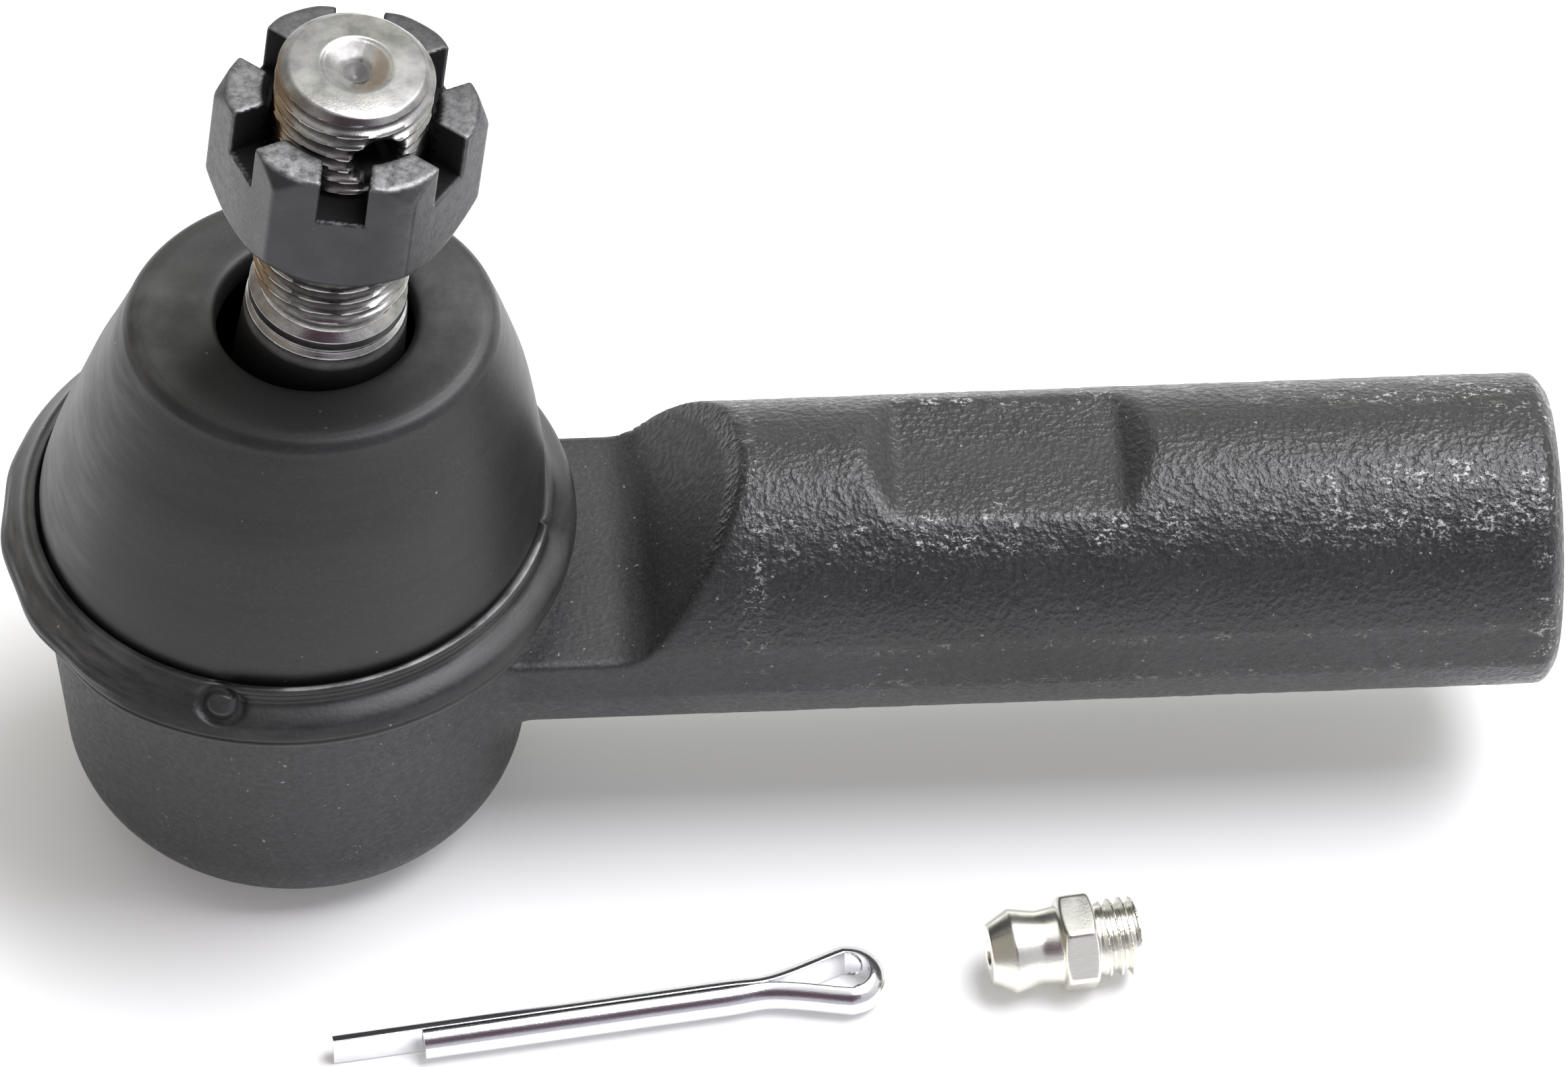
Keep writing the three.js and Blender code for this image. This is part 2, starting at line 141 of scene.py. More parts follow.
pin_radius = 1.38
pin_short_leg_start = 7.05
pin_eye_radius = 1.72
pin_eye_centre = 40.9
pin_neck = 35.6
pin_turn = math.radians(7.57)

fitting_length = 11.9
fitting_hex_start = 5.6
fitting_hex_end = 8.4
fitting_across_flats = 7.14
fitting_thread_radius = 3.1
fitting_thread_pitch = 0.907
fitting_tip_radius = 2.35
fitting_ball_radius = 1.25
fitting_ball_seat = 2.6

# ---- Where each frame of reference stands ----

joints = {joint["name"]: joint for joint in frame["joints"]}
ball_centre = Vector(joints["stud_tilt"]["pos_m"])
stud_axis = Vector(joints["stud_spin"]["axis"]).normalized()
fitting_axis = Vector(joints["fitting_ball_slide"]["axis"]).normalized()


def scaled(rotation, origin):
    """A frame of reference: millimetres in, metres in the part's frame out."""
    return Matrix.Translation(origin) @ rotation @ Matrix.Scale(MM, 4)


def stud_rotation():
    """Turns +Z to the stud's leaning axis."""
    lean = math.acos(stud_axis.z)
    direction = math.atan2(stud_axis.y, stud_axis.x)
    return Matrix.Rotation(direction, 4, "Z") @ Matrix.Rotation(lean, 4, "Y")


def pin_frame():
    """Origin level with the long leg's tip, between the two legs, with +X along them."""
    lowest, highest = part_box("cotter_pin")
    edge = pin_radius + 0.1
    x = lowest.x + edge * math.sin(pin_turn) * MM
    y = lowest.y + (edge * math.cos(pin_turn) - pin_short_leg_start * math.sin(pin_turn)) * MM
    return scaled(Matrix.Rotation(pin_turn, 4, "Z"), Vector((x, y, (lowest.z + highest.z) / 2)))


def fitting_frame():
    """Origin at the tip of the nipple, with +Z towards the threaded end."""
    lowest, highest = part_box("grease_fitting")
    turn = math.atan2(fitting_axis.y, fitting_axis.x)
    corner = fitting_across_flats / math.sqrt(3)
    x = lowest.x + fitting_tip_radius * math.sin(turn) * MM
    y = highest.y - (fitting_hex_end * math.sin(turn) + corner * math.cos(turn)) * MM
    rotation = Matrix.Rotation(turn, 4, "Z") @ Matrix.Rotation(math.pi / 2, 4, "Y")
    return scaled(rotation, Vector((x, y, (lowest.z + highest.z) / 2)))


socket_frame = scaled(Matrix.Identity(4), Vector((ball_centre.x, ball_centre.y, 0)))
stud_frame = scaled(stud_rotation(), ball_centre)
nut_frame = stud_frame @ Matrix.Rotation(nut_turn, 4, "Z")

# ---- Camera ----


def add_camera():
    azimuth = math.radians(3.62)
    elevation = math.radians(48.84)
    roll = math.radians(0.68)
    distance = 0.8008
    target = Vector((ball_centre.x + 38.8 * MM, ball_centre.y, 24.59 * MM))
    flat = math.cos(elevation)
    forward = Vector((math.sin(azimuth) * flat, math.cos(azimuth) * flat, -math.sin(elevation)))
    level = Vector((math.cos(azimuth), -math.sin(azimuth), 0))
    upward = level.cross(forward)
    right = math.cos(roll) * level + math.sin(roll) * upward
    top = math.cos(roll) * upward - math.sin(roll) * level
    data = bpy.data.cameras.new("camera")
    data.sensor_width = 36
    data.lens = 234
    data.clip_start = 0.05
    data.clip_end = 20
    camera = bpy.data.objects.new("camera", data)
    camera.matrix_world = Matrix((right, top, -forward)).transposed().to_4x4()
    camera.matrix_world.translation = target - forward * distance
    bpy.context.scene.collection.objects.link(camera)
    bpy.context.scene.camera = camera


add_camera()

# ---- Mesh helpers ----


def make_object(name, points, faces, place, sharp_degrees=None):
    """A smooth-shaded mesh object from points in millimetres."""
    mesh = bpy.data.meshes.new(name)
    mesh.from_pydata(np.asarray(points, float).tolist(), [], [list(face) for face in faces])
    mesh.transform(place)
    mesh.shade_smooth()
    if sharp_degrees is not None:
        mesh.set_sharp_from_angle(angle=math.radians(sharp_degrees))
    mesh.validate()
    obj = bpy.data.objects.new(name, mesh)
    bpy.context.scene.collection.objects.link(obj)
    return obj


def join(obj, *others):
    """Moves the other objects' meshes into this one."""
    chosen = [obj, *others]
    with bpy.context.temp_override(
        active_object=obj, selected_objects=chosen, selected_editable_objects=chosen
    ):
        bpy.ops.object.join()


def arc(centre_r, centre_z, radius, start_degrees, end_degrees, steps):
    """Points round part of a circle in (r, z)."""
    points = []
    for i in range(steps + 1):
        angle = math.radians(start_degrees + (end_degrees - start_degrees) * i / steps)
        points.append((centre_r + radius * math.cos(angle), centre_z + radius * math.sin(angle)))
    return points


def sphere_arc(radius, start_z, end_z, steps, centre_z=0):
    """Points along a ball's outline, between two heights above its centre."""
    start = math.degrees(math.asin(start_z / radius))
    end = math.degrees(math.asin(end_z / radius))
    return arc(0, centre_z, radius, start, end, steps)


def rounded(corners, closed=False, steps=4):
    """An outline through (r, z) or (r, z, fillet radius) corners, with the fillets put in."""
    outline = []
    count = len(corners)
    for i, corner in enumerate(corners):
        here = Vector(corner[:2])
        fillet = corner[2] if len(corner) > 2 else 0
        if fillet == 0 or (not closed and i in (0, count - 1)):
            outline.append(tuple(here))
            continue
        before = Vector(corners[i - 1][:2]) - here
        after = Vector(corners[(i + 1) % count][:2]) - here
        half = before.angle(after) / 2
        reach = min(fillet / math.tan(half), 0.48 * before.length, 0.48 * after.length)
        first = here + before.normalized() * reach
        last = here + after.normalized() * reach
        for k in range(steps + 1):
            t = k / steps
            outline.append(tuple(first * (1 - t) ** 2 + here * 2 * t * (1 - t) + last * t**2))
    return outline


def refined(outline, longest, closed=False):
    """The same outline with no step longer than this."""
    points = []
    ends = outline[1:] + ([outline[0]] if closed else [])
    for start, end in zip(outline, ends):
        count = max(1, math.ceil(math.dist(start, end) / longest))
        for k in range(count):
            t = k / count
            points.append((start[0] + (end[0] - start[0]) * t, start[1] + (end[1] - start[1]) * t))
    return points if closed else points + [outline[-1]]


def curve_through(points, steps):
    """A smooth curve through points of any dimension (Catmull-Rom), open."""
    p = np.array(points, float)
    p = np.vstack([2 * p[0] - p[1], p, 2 * p[-1] - p[-2]])
    curve = []
    for i in range(1, len(p) - 2):
        for k in range(steps):
            t = k / steps
            slope = (p[i + 1] - p[i - 1]) * t
            bend = (2 * p[i - 1] - 5 * p[i] + 4 * p[i + 1] - p[i + 2]) * t**2
            twist = (3 * p[i] - p[i - 1] - 3 * p[i + 1] + p[i + 2]) * t**3
            curve.append(0.5 * (2 * p[i] + slope + bend + twist))
    curve.append(p[-2])
    return [tuple(row) for row in curve]


def turned(name, outline, columns, place, warp=None, sharp_degrees=None):
    """A turned piece. The outline runs anticlockwise in (r, z). It starts and ends on the axis, or
    closes on itself. warp(r, z, angle) returns new x, y and z arrays."""
    outline = np.array(outline, float)
    on_axis = outline[0, 0] == 0
    r, angle = np.meshgrid(outline[:, 0], np.arange(columns) * 2 * math.pi / columns, indexing="ij")
    z = np.repeat(outline[:, 1:2], columns, axis=1)
    if warp is None:
        x, y = r * np.cos(angle), r * np.sin(angle)
    else:
        x, y, z = warp(r, z, angle)
    points = np.stack([x, y, z], axis=-1).reshape(-1, 3)
    rows = len(outline)
    faces = []
    spans = range(rows - 1) if on_axis else range(rows)
    for i in spans:
        low, high = i * columns, (i + 1) % rows * columns
        for k in range(columns):
            after = (k + 1) % columns
            if on_axis and i == 0:
                faces.append((low, high + after, high + k))
            elif on_axis and i == rows - 2:
                faces.append((low + k, low + after, high))
            else:
                faces.append((low + k, low + after, high + after, high + k))
    if on_axis:
        points, faces = drop_unused(points, faces)
    return make_object(name, points, faces, place, sharp_degrees)


def drop_unused(points, faces):
    used = sorted({corner for face in faces for corner in face})
    new_index = {old: new for new, old in enumerate(used)}
    return points[used], [tuple(new_index[corner] for corner in face) for face in faces]


def thread_cut(height, angle, pitch, depth):
    """How far below the crest a right-hand thread's surface lies."""
    phase = np.mod(height / pitch - angle / (2 * math.pi), 1)
    wave = np.abs(2 * phase - 1)
    return depth * np.clip((wave - 0.125) / 0.625, 0, 1)


def swept(name, path, section, side, place):
    """A section of (side, lift) points carried along a path, with flat ends. side(spot, tangent)
    gives the section's side direction."""
    path = np.array(path, float)
    tangents = np.gradient(path, axis=0)
    tangents /= np.linalg.norm(tangents, axis=1, keepdims=True)
    count = len(section)
    points = []
    for spot, tangent in zip(path, tangents):
        outward = side(spot, tangent)
        lift = np.cross(tangent, outward)
        for a, b in section:
            points.append(spot + outward * a + lift * b)
    faces = []
    for i in range(len(path) - 1):
        for k in range(count):
            after = (k + 1) % count
            low, high = i * count, (i + 1) * count
            faces.append((low + k, low + after, high + after, high + k))
    faces.append(tuple(reversed(range(count))))
    faces.append(tuple(range((len(path) - 1) * count, len(path) * count)))
    return make_object(name, points, faces, place, 40)


# ---- Distance fields: negative inside, in millimetres ----


def smooth_min(a, b, width):
    """The lesser of two distances, blended where they are closer than this width."""
    h = np.clip(0.5 + 0.5 * (b - a) / width, 0, 1)
    return b * (1 - h) + a * h - width * h * (1 - h)


def smooth_max(a, b, width):
    return -smooth_min(-a, -b, width)


def outline_distance(r, z, outline):
    """Signed distance from a closed outline in the (r, z) plane."""
    nearest = np.full(r.shape, np.inf)
    sign = np.ones(r.shape)
    for i, (ar, az) in enumerate(outline):
        br, bz = outline[i - 1]
        er, ez = br - ar, bz - az
        if er == 0 and ez == 0:
            continue
        wr, wz = r - ar, z - az
        t = np.clip((wr * er + wz * ez) / (er * er + ez * ez), 0, 1)
        nearest = np.minimum(nearest, (wr - er * t) ** 2 + (wz - ez * t) ** 2)
        above, below = z >= az, z < bz
        left = er * wz > ez * wr
        sign = np.where((above & below & left) | ~(above | below | left), -sign, sign)
    return sign * np.sqrt(nearest)


def field_mesh(field, lowest, highest, step):
    """Points and faces of the surface where the field is zero (surface nets), with each point then
    pulled exactly onto that surface."""
    axes = [np.arange(lowest[i] - 1.5 * step, highest[i] + 2.5 * step, step) for i in range(3)]
    value = field(*np.meshgrid(*axes, indexing="ij"))
    shape = np.array(value.shape)
    strides = np.array([shape[1] * shape[2], shape[2], 1])
    total = np.zeros((3, value.size))
    count = np.zeros(value.size)
    quads = []
    for axis in range(3):
        forward = np.zeros(3, int)
        forward[axis] = 1
        near = value[: shape[0] - forward[0], : shape[1] - forward[1], : shape[2] - forward[2]]
        far = value[forward[0] :, forward[1] :, forward[2] :]
        index = np.argwhere((near < 0) != (far < 0))
        start, end = near[tuple(index.T)], far[tuple(index.T)]
        crossing = index.astype(float)
        crossing[:, axis] += start / (start - end)
        b, c = strides[(axis + 1) % 3], strides[(axis + 2) % 3]
        cell = index @ strides
        corners = np.stack([cell, cell - b, cell - b - c, cell - c], axis=1)
        for k in range(4):
            count += np.bincount(corners[:, k], minlength=value.size)
            for d in range(3):
                total[d] += np.bincount(corners[:, k], crossing[:, d], minlength=value.size)
        quads.append(np.where((start < 0)[:, None], corners, corners[:, ::-1]))
    quads = np.concatenate(quads)
    used = np.flatnonzero(count)
    number = np.zeros(value.size, int)
    number[used] = np.arange(len(used))
    origin = np.array([axis[0] for axis in axes])
    points = (total[:, used] / count[used]).T * step + origin
    for _ in range(4):
        slope = field_slope(field, points)
        height = field(*points.T)
        move = slope * (height / np.maximum((slope**2).sum(axis=1), 0.05))[:, None]
        length = np.linalg.norm(move, axis=1, keepdims=True)
        points -= move * np.minimum(1, 0.4 * step / np.maximum(length, 1e-9))
    return points, number[quads]


def field_slope(field, points, span=0.02):
    """The field's gradient, from its values a little way to both sides of each point."""
    slope = np.empty_like(points)
    for axis in range(3):
        offset = np.zeros(3)
        offset[axis] = span
        slope[:, axis] = field(*(points + offset).T) - field(*(points - offset).T)
    return slope / (2 * span)


def roughened(points, field, size, depth, seed=0, share=None):
    """The points pushed along the surface's normal by smooth noise."""
    slope = field_slope(field, points)
    normal = slope / np.maximum(np.linalg.norm(slope, axis=1, keepdims=True), 1e-6)
    shift = Vector((seed, seed, seed))
    lumps = np.array([noise.noise(Vector(p) / size + shift) for p in points.tolist()])
    amount = depth * lumps * (1 if share is None else share)
    return points + normal * amount[:, None]


def smoothstep(value, start, end):
    t = np.clip((value - start) / (end - start), 0, 1)
    return t * t * (3 - 2 * t)


def band(value, middle, none, full):
    """From 0 to 1 as the distance from a middle value goes from one width to another."""
    return smoothstep(np.abs(value - middle), none, full)


def hump(value, middle, width):
    """1 at a middle value, and falling smoothly to 0 on both sides."""
    return np.exp(-(((value - middle) / width) ** 2))


def turned_axes(x, y, degrees):
    """How far each point lies along a direction in the (x, y) plane, and how far across it."""
    cos, sin = math.cos(math.radians(degrees)), math.sin(math.radians(degrees))
    return x * cos + y * sin, y * cos - x * sin


def hexagon(x, y, across_flats, fillet):
    """Distance from a hexagon with rounded corners, and a flat square to +X."""
    faces = [np.abs(turned_axes(x, y, degrees)[0]) - across_flats / 2 for degrees in HEXAGON_TURNS]
    return smooth_max(smooth_max(faces[0], faces[1], fillet), faces[2], fillet)


# ---- Material helpers ----


def new_material(name):
    """A material, its node tree and its shader, and the place on the object that is being shaded."""
    material = bpy.data.materials.new(name)
    material.use_nodes = True
    tree = material.node_tree
    place = add(tree, "ShaderNodeTexCoord").outputs["Object"]
    return material, tree, tree.nodes["Principled BSDF"], place


def add(tree, kind, inputs=None, **settings):
    node = tree.nodes.new(kind)
    for key, value in settings.items():
        setattr(node, key, value)
    return connect(tree, node, inputs or {})


def connect(tree, node, inputs):
    """Feeds a node's inputs, each from another node's output or with a plain value."""
    for key, value in inputs.items():
        if isinstance(value, bpy.types.NodeSocket):
            tree.links.new(value, node.inputs[key])
        else:
            node.inputs[key].default_value = value
    return node


def stretched(tree, vector, scale):
    return add(tree, "ShaderNodeMapping", {"Vector": vector, "Scale": scale}).outputs["Vector"]


def grain(tree, vector, size_mm, detail=3.0, roughness=0.55):
    """Noise whose lumps are about this many millimetres across."""
    scale = 1 / (size_mm * MM)
    inputs = {"Vector": vector, "Scale": scale, "Detail": detail, "Roughness": roughness}
    return add(tree, "ShaderNodeTexNoise", inputs).outputs["Fac"]


def cells(tree, vector, size_mm):
    """The distance to the nearest of many scattered points, about this many millimetres apart."""
    inputs = {"Vector": vector, "Scale": 1 / (size_mm * MM)}
    return add(tree, "ShaderNodeTexVoronoi", inputs).outputs["Distance"]


def between(tree, value, start, end, low=0.0, high=1.0):
    """Maps start..end of a value to low..high, held at both ends."""
    inputs = {"Value": value, "From Min": start, "From Max": end, "To Min": low, "To Max": high}
    return add(tree, "ShaderNodeMapRange", inputs, clamp=True).outputs["Result"]


def maths(tree, operation, a, b=0.0):
    return add(tree, "ShaderNodeMath", {0: a, 1: b}, operation=operation).outputs[0]


def product(tree, a, b):
    return maths(tree, "MULTIPLY", a, b)


def mixed(tree, share, a, b):
    """A colour between two."""
    inputs = {"Factor": share, "A": a, "B": b}
    return add(tree, "ShaderNodeMix", inputs, data_type="RGBA").outputs["Result"]


def bumped(tree, height, distance_mm, strength=1.0, normal=None):
    """A normal tilted by a height, over the plain one or another bump's."""
    inputs = {"Height": height, "Distance": distance_mm * MM, "Strength": strength}
    if normal is not None:
        inputs["Normal"] = normal
    return add(tree, "ShaderNodeBump", inputs).outputs["Normal"]


def grey(level, tint=(1, 1, 1)):
    return (level * tint[0], level * tint[1], level * tint[2], 1)


def mask(tree, name):
    return add(tree, "ShaderNodeAttribute", attribute_name=name).outputs["Fac"]


def set_mask(obj, name, values):
    """Keeps one number per point, which a material reads with mask()."""
    layer = obj.data.attributes.new(name, "FLOAT", "POINT")
    layer.data.foreach_set("value", np.asarray(values, np.float32))


# ---- Materials ----


def forging_material():
    """Phosphated forging: dark, pebbled and glinting where the skin is as forged, with small pale
    spots all over that are painted glints, and pale flecks where its mask is high: scuffs, with a
    painted highlight on top of the shank's far end."""
    material, tree, shader, place = new_material("forging")
    pebbled = mask(tree, "pebbled")
    worn_and_lit = mask(tree, "wear_and_sheen")
    clouds = grain(tree, place, 8, 5, 0.6)
    pebbles = grain(tree, place, 0.52, 2, 0.5)
    fine = grain(tree, place, 0.28, 3, 0.65)
    dark = grey(0.014, (1, 0.99, 1.06))
    pale = grey(0.024, (1, 0.99, 1.05))
    base = mixed(tree, between(tree, clouds, 0.3, 0.7), dark, pale)
    base = mixed(tree, between(tree, fine, 0.45, 0.8), base, grey(0.042))
    # Painted glints: small pale spots scattered all over the forging.
    painted_glints = between(tree, grain(tree, place, 0.5, 2, 0.5), 0.72, 0.75)
    base = mixed(tree, painted_glints, base, grey(0.2))
    patches = between(tree, grain(tree, place, 2.2, 3, 0.6), 0.46, 0.6)
    flecks = between(tree, grain(tree, stretched(tree, place, (0.75, 1, 1)), 0.36, 3, 0.75), 0.55, 0.62)
    share = product(tree, product(tree, patches, flecks), worn_and_lit)
    skin = between(tree, pebbles, 0.35, 0.65, 0.42, 0.28)
    plain = between(tree, pebbled, 0, 1, 0.2, 0)
    height = product(tree, pebbles, between(tree, pebbled, 0, 1, 0.08, 1))
    looks = {
        "Base Color": mixed(tree, share, base, grey(0.42, (1, 0.99, 0.97))),
        "Roughness": maths(tree, "ADD", skin, plain),
        "Specular IOR Level": 0.45,
        "Normal": bumped(tree, height, 0.17, 1.0, bumped(tree, fine, 0.03, 0.5)),
    }
    connect(tree, shader, looks)
    return material


def rubber_material():
    """Charcoal rubber with a satin skin: faint clouding, dust, and pale mould streaks where its sheen mask
    is high, partly the rubber's whitish film and partly painted sheen. Over 1 that mask gives a pale
    painted highlight, and the rubber is painted black, as shade, where its shade mask is high."""
    material, tree, shader, place = new_material("boot_rubber")
    clouds = grain(tree, place, 11, 5, 0.6)
    streaks = grain(tree, stretched(tree, place, (0.3, 0.3, 2.0)), 1.6, 4, 0.6)
    fine = grain(tree, place, 0.35, 3, 0.6)
    bloom_and_sheen = mask(tree, "bloom_and_sheen")
    painted_shade = mask(tree, "painted_shade")
    dark = grey(0.008, (0.98, 1, 1.08))
    pale = grey(0.017, (1, 1.02, 1.04))
    base = mixed(tree, between(tree, clouds, 0.3, 0.7), dark, pale)
    base = mixed(tree, between(tree, fine, 0.5, 0.85), base, grey(0.024, (1, 1, 1.02)))
    # Pale streaks where the sheen mask is high: the rubber's whitish film, and painted sheen.
    dust_and_painted_sheen = product(tree, between(tree, streaks, 0.35, 0.75), bloom_and_sheen)
    base = mixed(tree, dust_and_painted_sheen, base, grey(0.09, (1, 1, 0.98)))
    # Painted highlight: paler still where that mask is over 1.
    painted_highlight = product(tree, between(tree, bloom_and_sheen, 1.1, 1.5), between(tree, streaks, 0.4, 0.6))
    base = mixed(tree, painted_highlight, base, grey(0.26))
    # Painted shade: black where the shade mask is high.
    base = mixed(tree, painted_shade, base, grey(0.003))
    dust = between(tree, cells(tree, place, 1.5), 0.09, 0.04)
    few = between(tree, grain(tree, place, 4, 2), 0.56, 0.62)
    base = mixed(tree, product(tree, product(tree, dust, few), 0.6), base, grey(0.35))
    satin = between(tree, clouds, 0.3, 0.7, 0.38, 0.5)
    height = product(tree, streaks, between(tree, bloom_and_sheen, 0, 1, 0.15, 1))
    looks = {
        "Base Color": base,
        "Roughness": maths(tree, "ADD", satin, product(tree, painted_shade, 0.4)),
        "Specular IOR Level": 0.45,
        "Normal": bumped(tree, height, 0.05, 0.35, bumped(tree, fine, 0.03, 0.5)),
    }
    connect(tree, shader, looks)
    return material


def black_oxide_material():
    """Blackened steel nut: dark machined faces, mottled paler where its scuff and sheen mask is high, and
    painted black, as shade, where the "recess" mask is."""
    material, tree, shader, place = new_material("black_oxide")
    worn_and_lit = mask(tree, "wear_and_sheen")
    recess = mask(tree, "recess")
    clouds = grain(tree, place, 3, 4)
    fine = grain(tree, place, 0.3, 3)
    dark = grey(0.035, (1, 1, 1.08))
    pale = grey(0.05, (1, 1, 1.05))
    base = mixed(tree, between(tree, clouds, 0.3, 0.7), dark, pale)
    mottle = between(tree, grain(tree, place, 0.8, 5, 0.75), 0.3, 0.65)
    # Mottled paler where the mask is high: light scuffs, a painted highlight on the teeth and painted
    # reflections on the side faces.
    base = mixed(tree, product(tree, worn_and_lit, mottle), base, grey(0.3))
    # Painted shade: black, and not metallic, in the slots and the bore.
    base = mixed(tree, recess, base, grey(0.0015))
    satin = between(tree, fine, 0.3, 0.7, 0.34, 0.44)
    looks = {
        "Base Color": base,
        "Metallic": between(tree, recess, 0, 1, 0.5, 0),
        "Specular IOR Level": 0.3,
        "Roughness": maths(tree, "ADD", satin, product(tree, recess, 0.4)),
        "Normal": bumped(tree, fine, 0.03, 0.5),
    }
    connect(tree, shader, looks)
    return material


def steel_material(name, dark, light, roughness, grain_mm=2.0, tint=(1, 1, 1), ring_mm=None):
    """Metal with slight clouding, and with turning marks where ring_mm is given. It is painted black,
    as shade, where its shade mask is high, and straw-coloured, a painted reflection, where its straw mask
    is."""
    material, tree, shader, place = new_material(name)
    clouds = grain(tree, place, grain_mm, 4, 0.6)
    fine = grain(tree, place, 0.18, 2)
    painted_dark_shade = mask(tree, "painted_dark_shade")
    base = mixed(tree, between(tree, clouds, 0.35, 0.7), grey(dark, tint), grey(light, tint))
    # Painted reflection: the straw tint.
    base = mixed(tree, mask(tree, "painted_straw_reflection"), base, (0.36, 0.23, 0.11, 1))
    polish = between(tree, clouds, 0.3, 0.7, roughness * 1.25, roughness * 0.8)
    normal = bumped(tree, fine, 0.012, 0.5)
    if ring_mm:
        turning = grain(tree, stretched(tree, place, (0.12, 0.12, 1)), ring_mm, 2)
        normal = bumped(tree, turning, 0.012, 0.6, normal)
    looks = {
        # Painted shade: black, and not metallic, where the shade mask is high.
        "Base Color": mixed(tree, painted_dark_shade, base, grey(0.006)),
        "Metallic": between(tree, painted_dark_shade, 0, 1, 1, 0),
        "Specular IOR Level": 0.3,
        "Roughness": maths(tree, "ADD", polish, product(tree, painted_dark_shade, 0.4)),
        "Normal": normal,
    }
    connect(tree, shader, looks)
    return material


def plastic_material():
    material, tree, shader, place = new_material("bearing_plastic")
    clouds = grain(tree, place, 6, 4)
    dark = (0.62, 0.58, 0.47, 1)
    pale = (0.72, 0.69, 0.58, 1)
    looks = {
        "Base Color": mixed(tree, between(tree, clouds, 0.3, 0.7), dark, pale),
        "Roughness": between(tree, clouds, 0.3, 0.7, 0.42, 0.55),
        "Subsurface Weight": 0.05,
        "Subsurface Scale": 0.001,
        "Normal": bumped(tree, grain(tree, place, 0.4, 3), 0.03, 0.4),
    }
    connect(tree, shader, looks)
    return material


# Dark and light levels, roughness, and where they matter the clouds' size, tint and turning marks.
STEELS = {
    "machined_steel": (0.25, 0.56, 0.19, 2.4, (1, 0.985, 0.96), 0.15),
    "pressed_steel": (0.2, 0.32, 0.38, 3),
    "spring_steel": (0.12, 0.2, 0.3),
    "sintered_steel": (0.22, 0.3, 0.5, 0.8, (1, 0.98, 0.95)),
    "zinc_plate": (0.82, 0.94, 0.16, 4, (0.97, 0.98, 1)),
    "yellow_zinc": (0.76, 0.9, 0.26, 3, (1, 0.99, 0.9), 0.2),
    "bearing_ball": (0.7, 0.8, 0.08, 4),
}
materials = {
    "forging": forging_material(),
    "boot_rubber": rubber_material(),
    "black_oxide": black_oxide_material(),
    **{name: steel_material(name, *look) for name, look in STEELS.items()},
    "bearing_plastic": plastic_material(),
}


def finished(obj, slot, body, *nodes):
    """Gives a piece its material, its body and the CAD nodes it stands for."""
    obj.data.materials.clear()
    obj.data.materials.append(materials[slot])
    if body:
        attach(obj, body)
    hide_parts(*nodes)
    return obj


# ---- Housing ----


def cup_outline():
    return [
        (0, 0),
        *arc(foot_radius, foot_fillet, foot_fillet, -90, 0, 14),
        (shoulder_radius, shoulder_height),
        (collar_radius, shoulder_height),
        (collar_radius, collar_height),
        (0, collar_height),
    ]


def socket_hollow_outline():
    lip_top = plate_bottom - 0.3
    recess_top = plate_bottom + plate_thickness + 0.3
    return [
        (0, -2),
        (foot_radius - 1.8, -2),
        (foot_radius - 1.8, 0.6),
        (foot_radius - 1, lip_top),
        (plate_radius + 0.3, lip_top),
        (plate_radius + 0.3, recess_top),
        (socket_bore, recess_top),
        (socket_bore, 25),
        (mouth_radius, 30),
        (mouth_radius + 1.2, collar_height),
        (mouth_radius + 1.2, collar_height + 2),
        (0, collar_height + 2),
    ]


def neck_cut_outline():
    slope_degrees = math.degrees(neck_slope)
    fillet_start = neck_slope_foot - neck_fillet * math.tan(neck_slope / 2)
    top = shank_height + shank_radius + 4
    top_x = neck_slope_foot + (top - neck_top) / math.tan(neck_slope)
    return [
        (-2, neck_top),
        *arc(fillet_start, neck_top + neck_fillet, neck_fillet, -90, slope_degrees - 90, 8),
        (top_x, top),
        (-2, top),
    ]


def wrench_flat_outline():
    rise = 2.5 * wrench_flat_depth
    run = 2.5 * wrench_flat_run
    floor = shank_radius - wrench_flat_depth
    return [
        (wrench_flat_start, floor),
        (wrench_flat_end, floor),
        (wrench_flat_end + run, floor + rise),
        (wrench_flat_start - run, floor + rise),
    ]


def shank_hollow_outline():
    bore = shank_bore + 0.8
    return [
        (0, shank_bore_start - 4),
        (bore, shank_bore_start),
        (bore, shank_end - 0.8),
        (bore + 0.8, shank_end),
        (bore + 0.8, shank_end + 3),
        (0, shank_end + 3),
    ]


CUP = cup_outline()
SOCKET_HOLLOW = socket_hollow_outline()
NECK_CUT = neck_cut_outline()
WRENCH_FLAT = wrench_flat_outline()
SHANK_HOLLOW = shank_hollow_outline()


def housing_field(x, y, z):
    """The cup and the shank, less the neck's step, the two wrench flats and the two hollows."""
    from_axis = np.hypot(x, y)
    from_shank = np.hypot(y, z - shank_height)
    shank = smooth_max(from_shank - shank_radius, np.abs(y) - parting_half_width, 0.06)
    slant = math.hypot(shank_chamfer_depth, shank_chamfer_length)
    inwards = (from_shank - shank_radius) * shank_chamfer_length
    along = (x - shank_end + shank_chamfer_length) * shank_chamfer_depth
    shank = smooth_max(smooth_max(shank, (inwards + along) / slant, 0.5), x - shank_end, 0.4)
    shank = smooth_max(shank, 2 - x, 0.5)
    shank = smooth_max(shank, -outline_distance(x, z, NECK_CUT), 0.35)
    flat = outline_distance(x, np.abs(z - shank_height), WRENCH_FLAT)
    shank = smooth_max(shank, -flat, 0.4)
    body = smooth_min(outline_distance(from_axis, z, CUP), shank, 2.2)
    body = smooth_max(body, -outline_distance(from_axis, z, SOCKET_HOLLOW), 0.35)
    return smooth_max(body, -outline_distance(from_shank, x, SHANK_HOLLOW), 0.3)


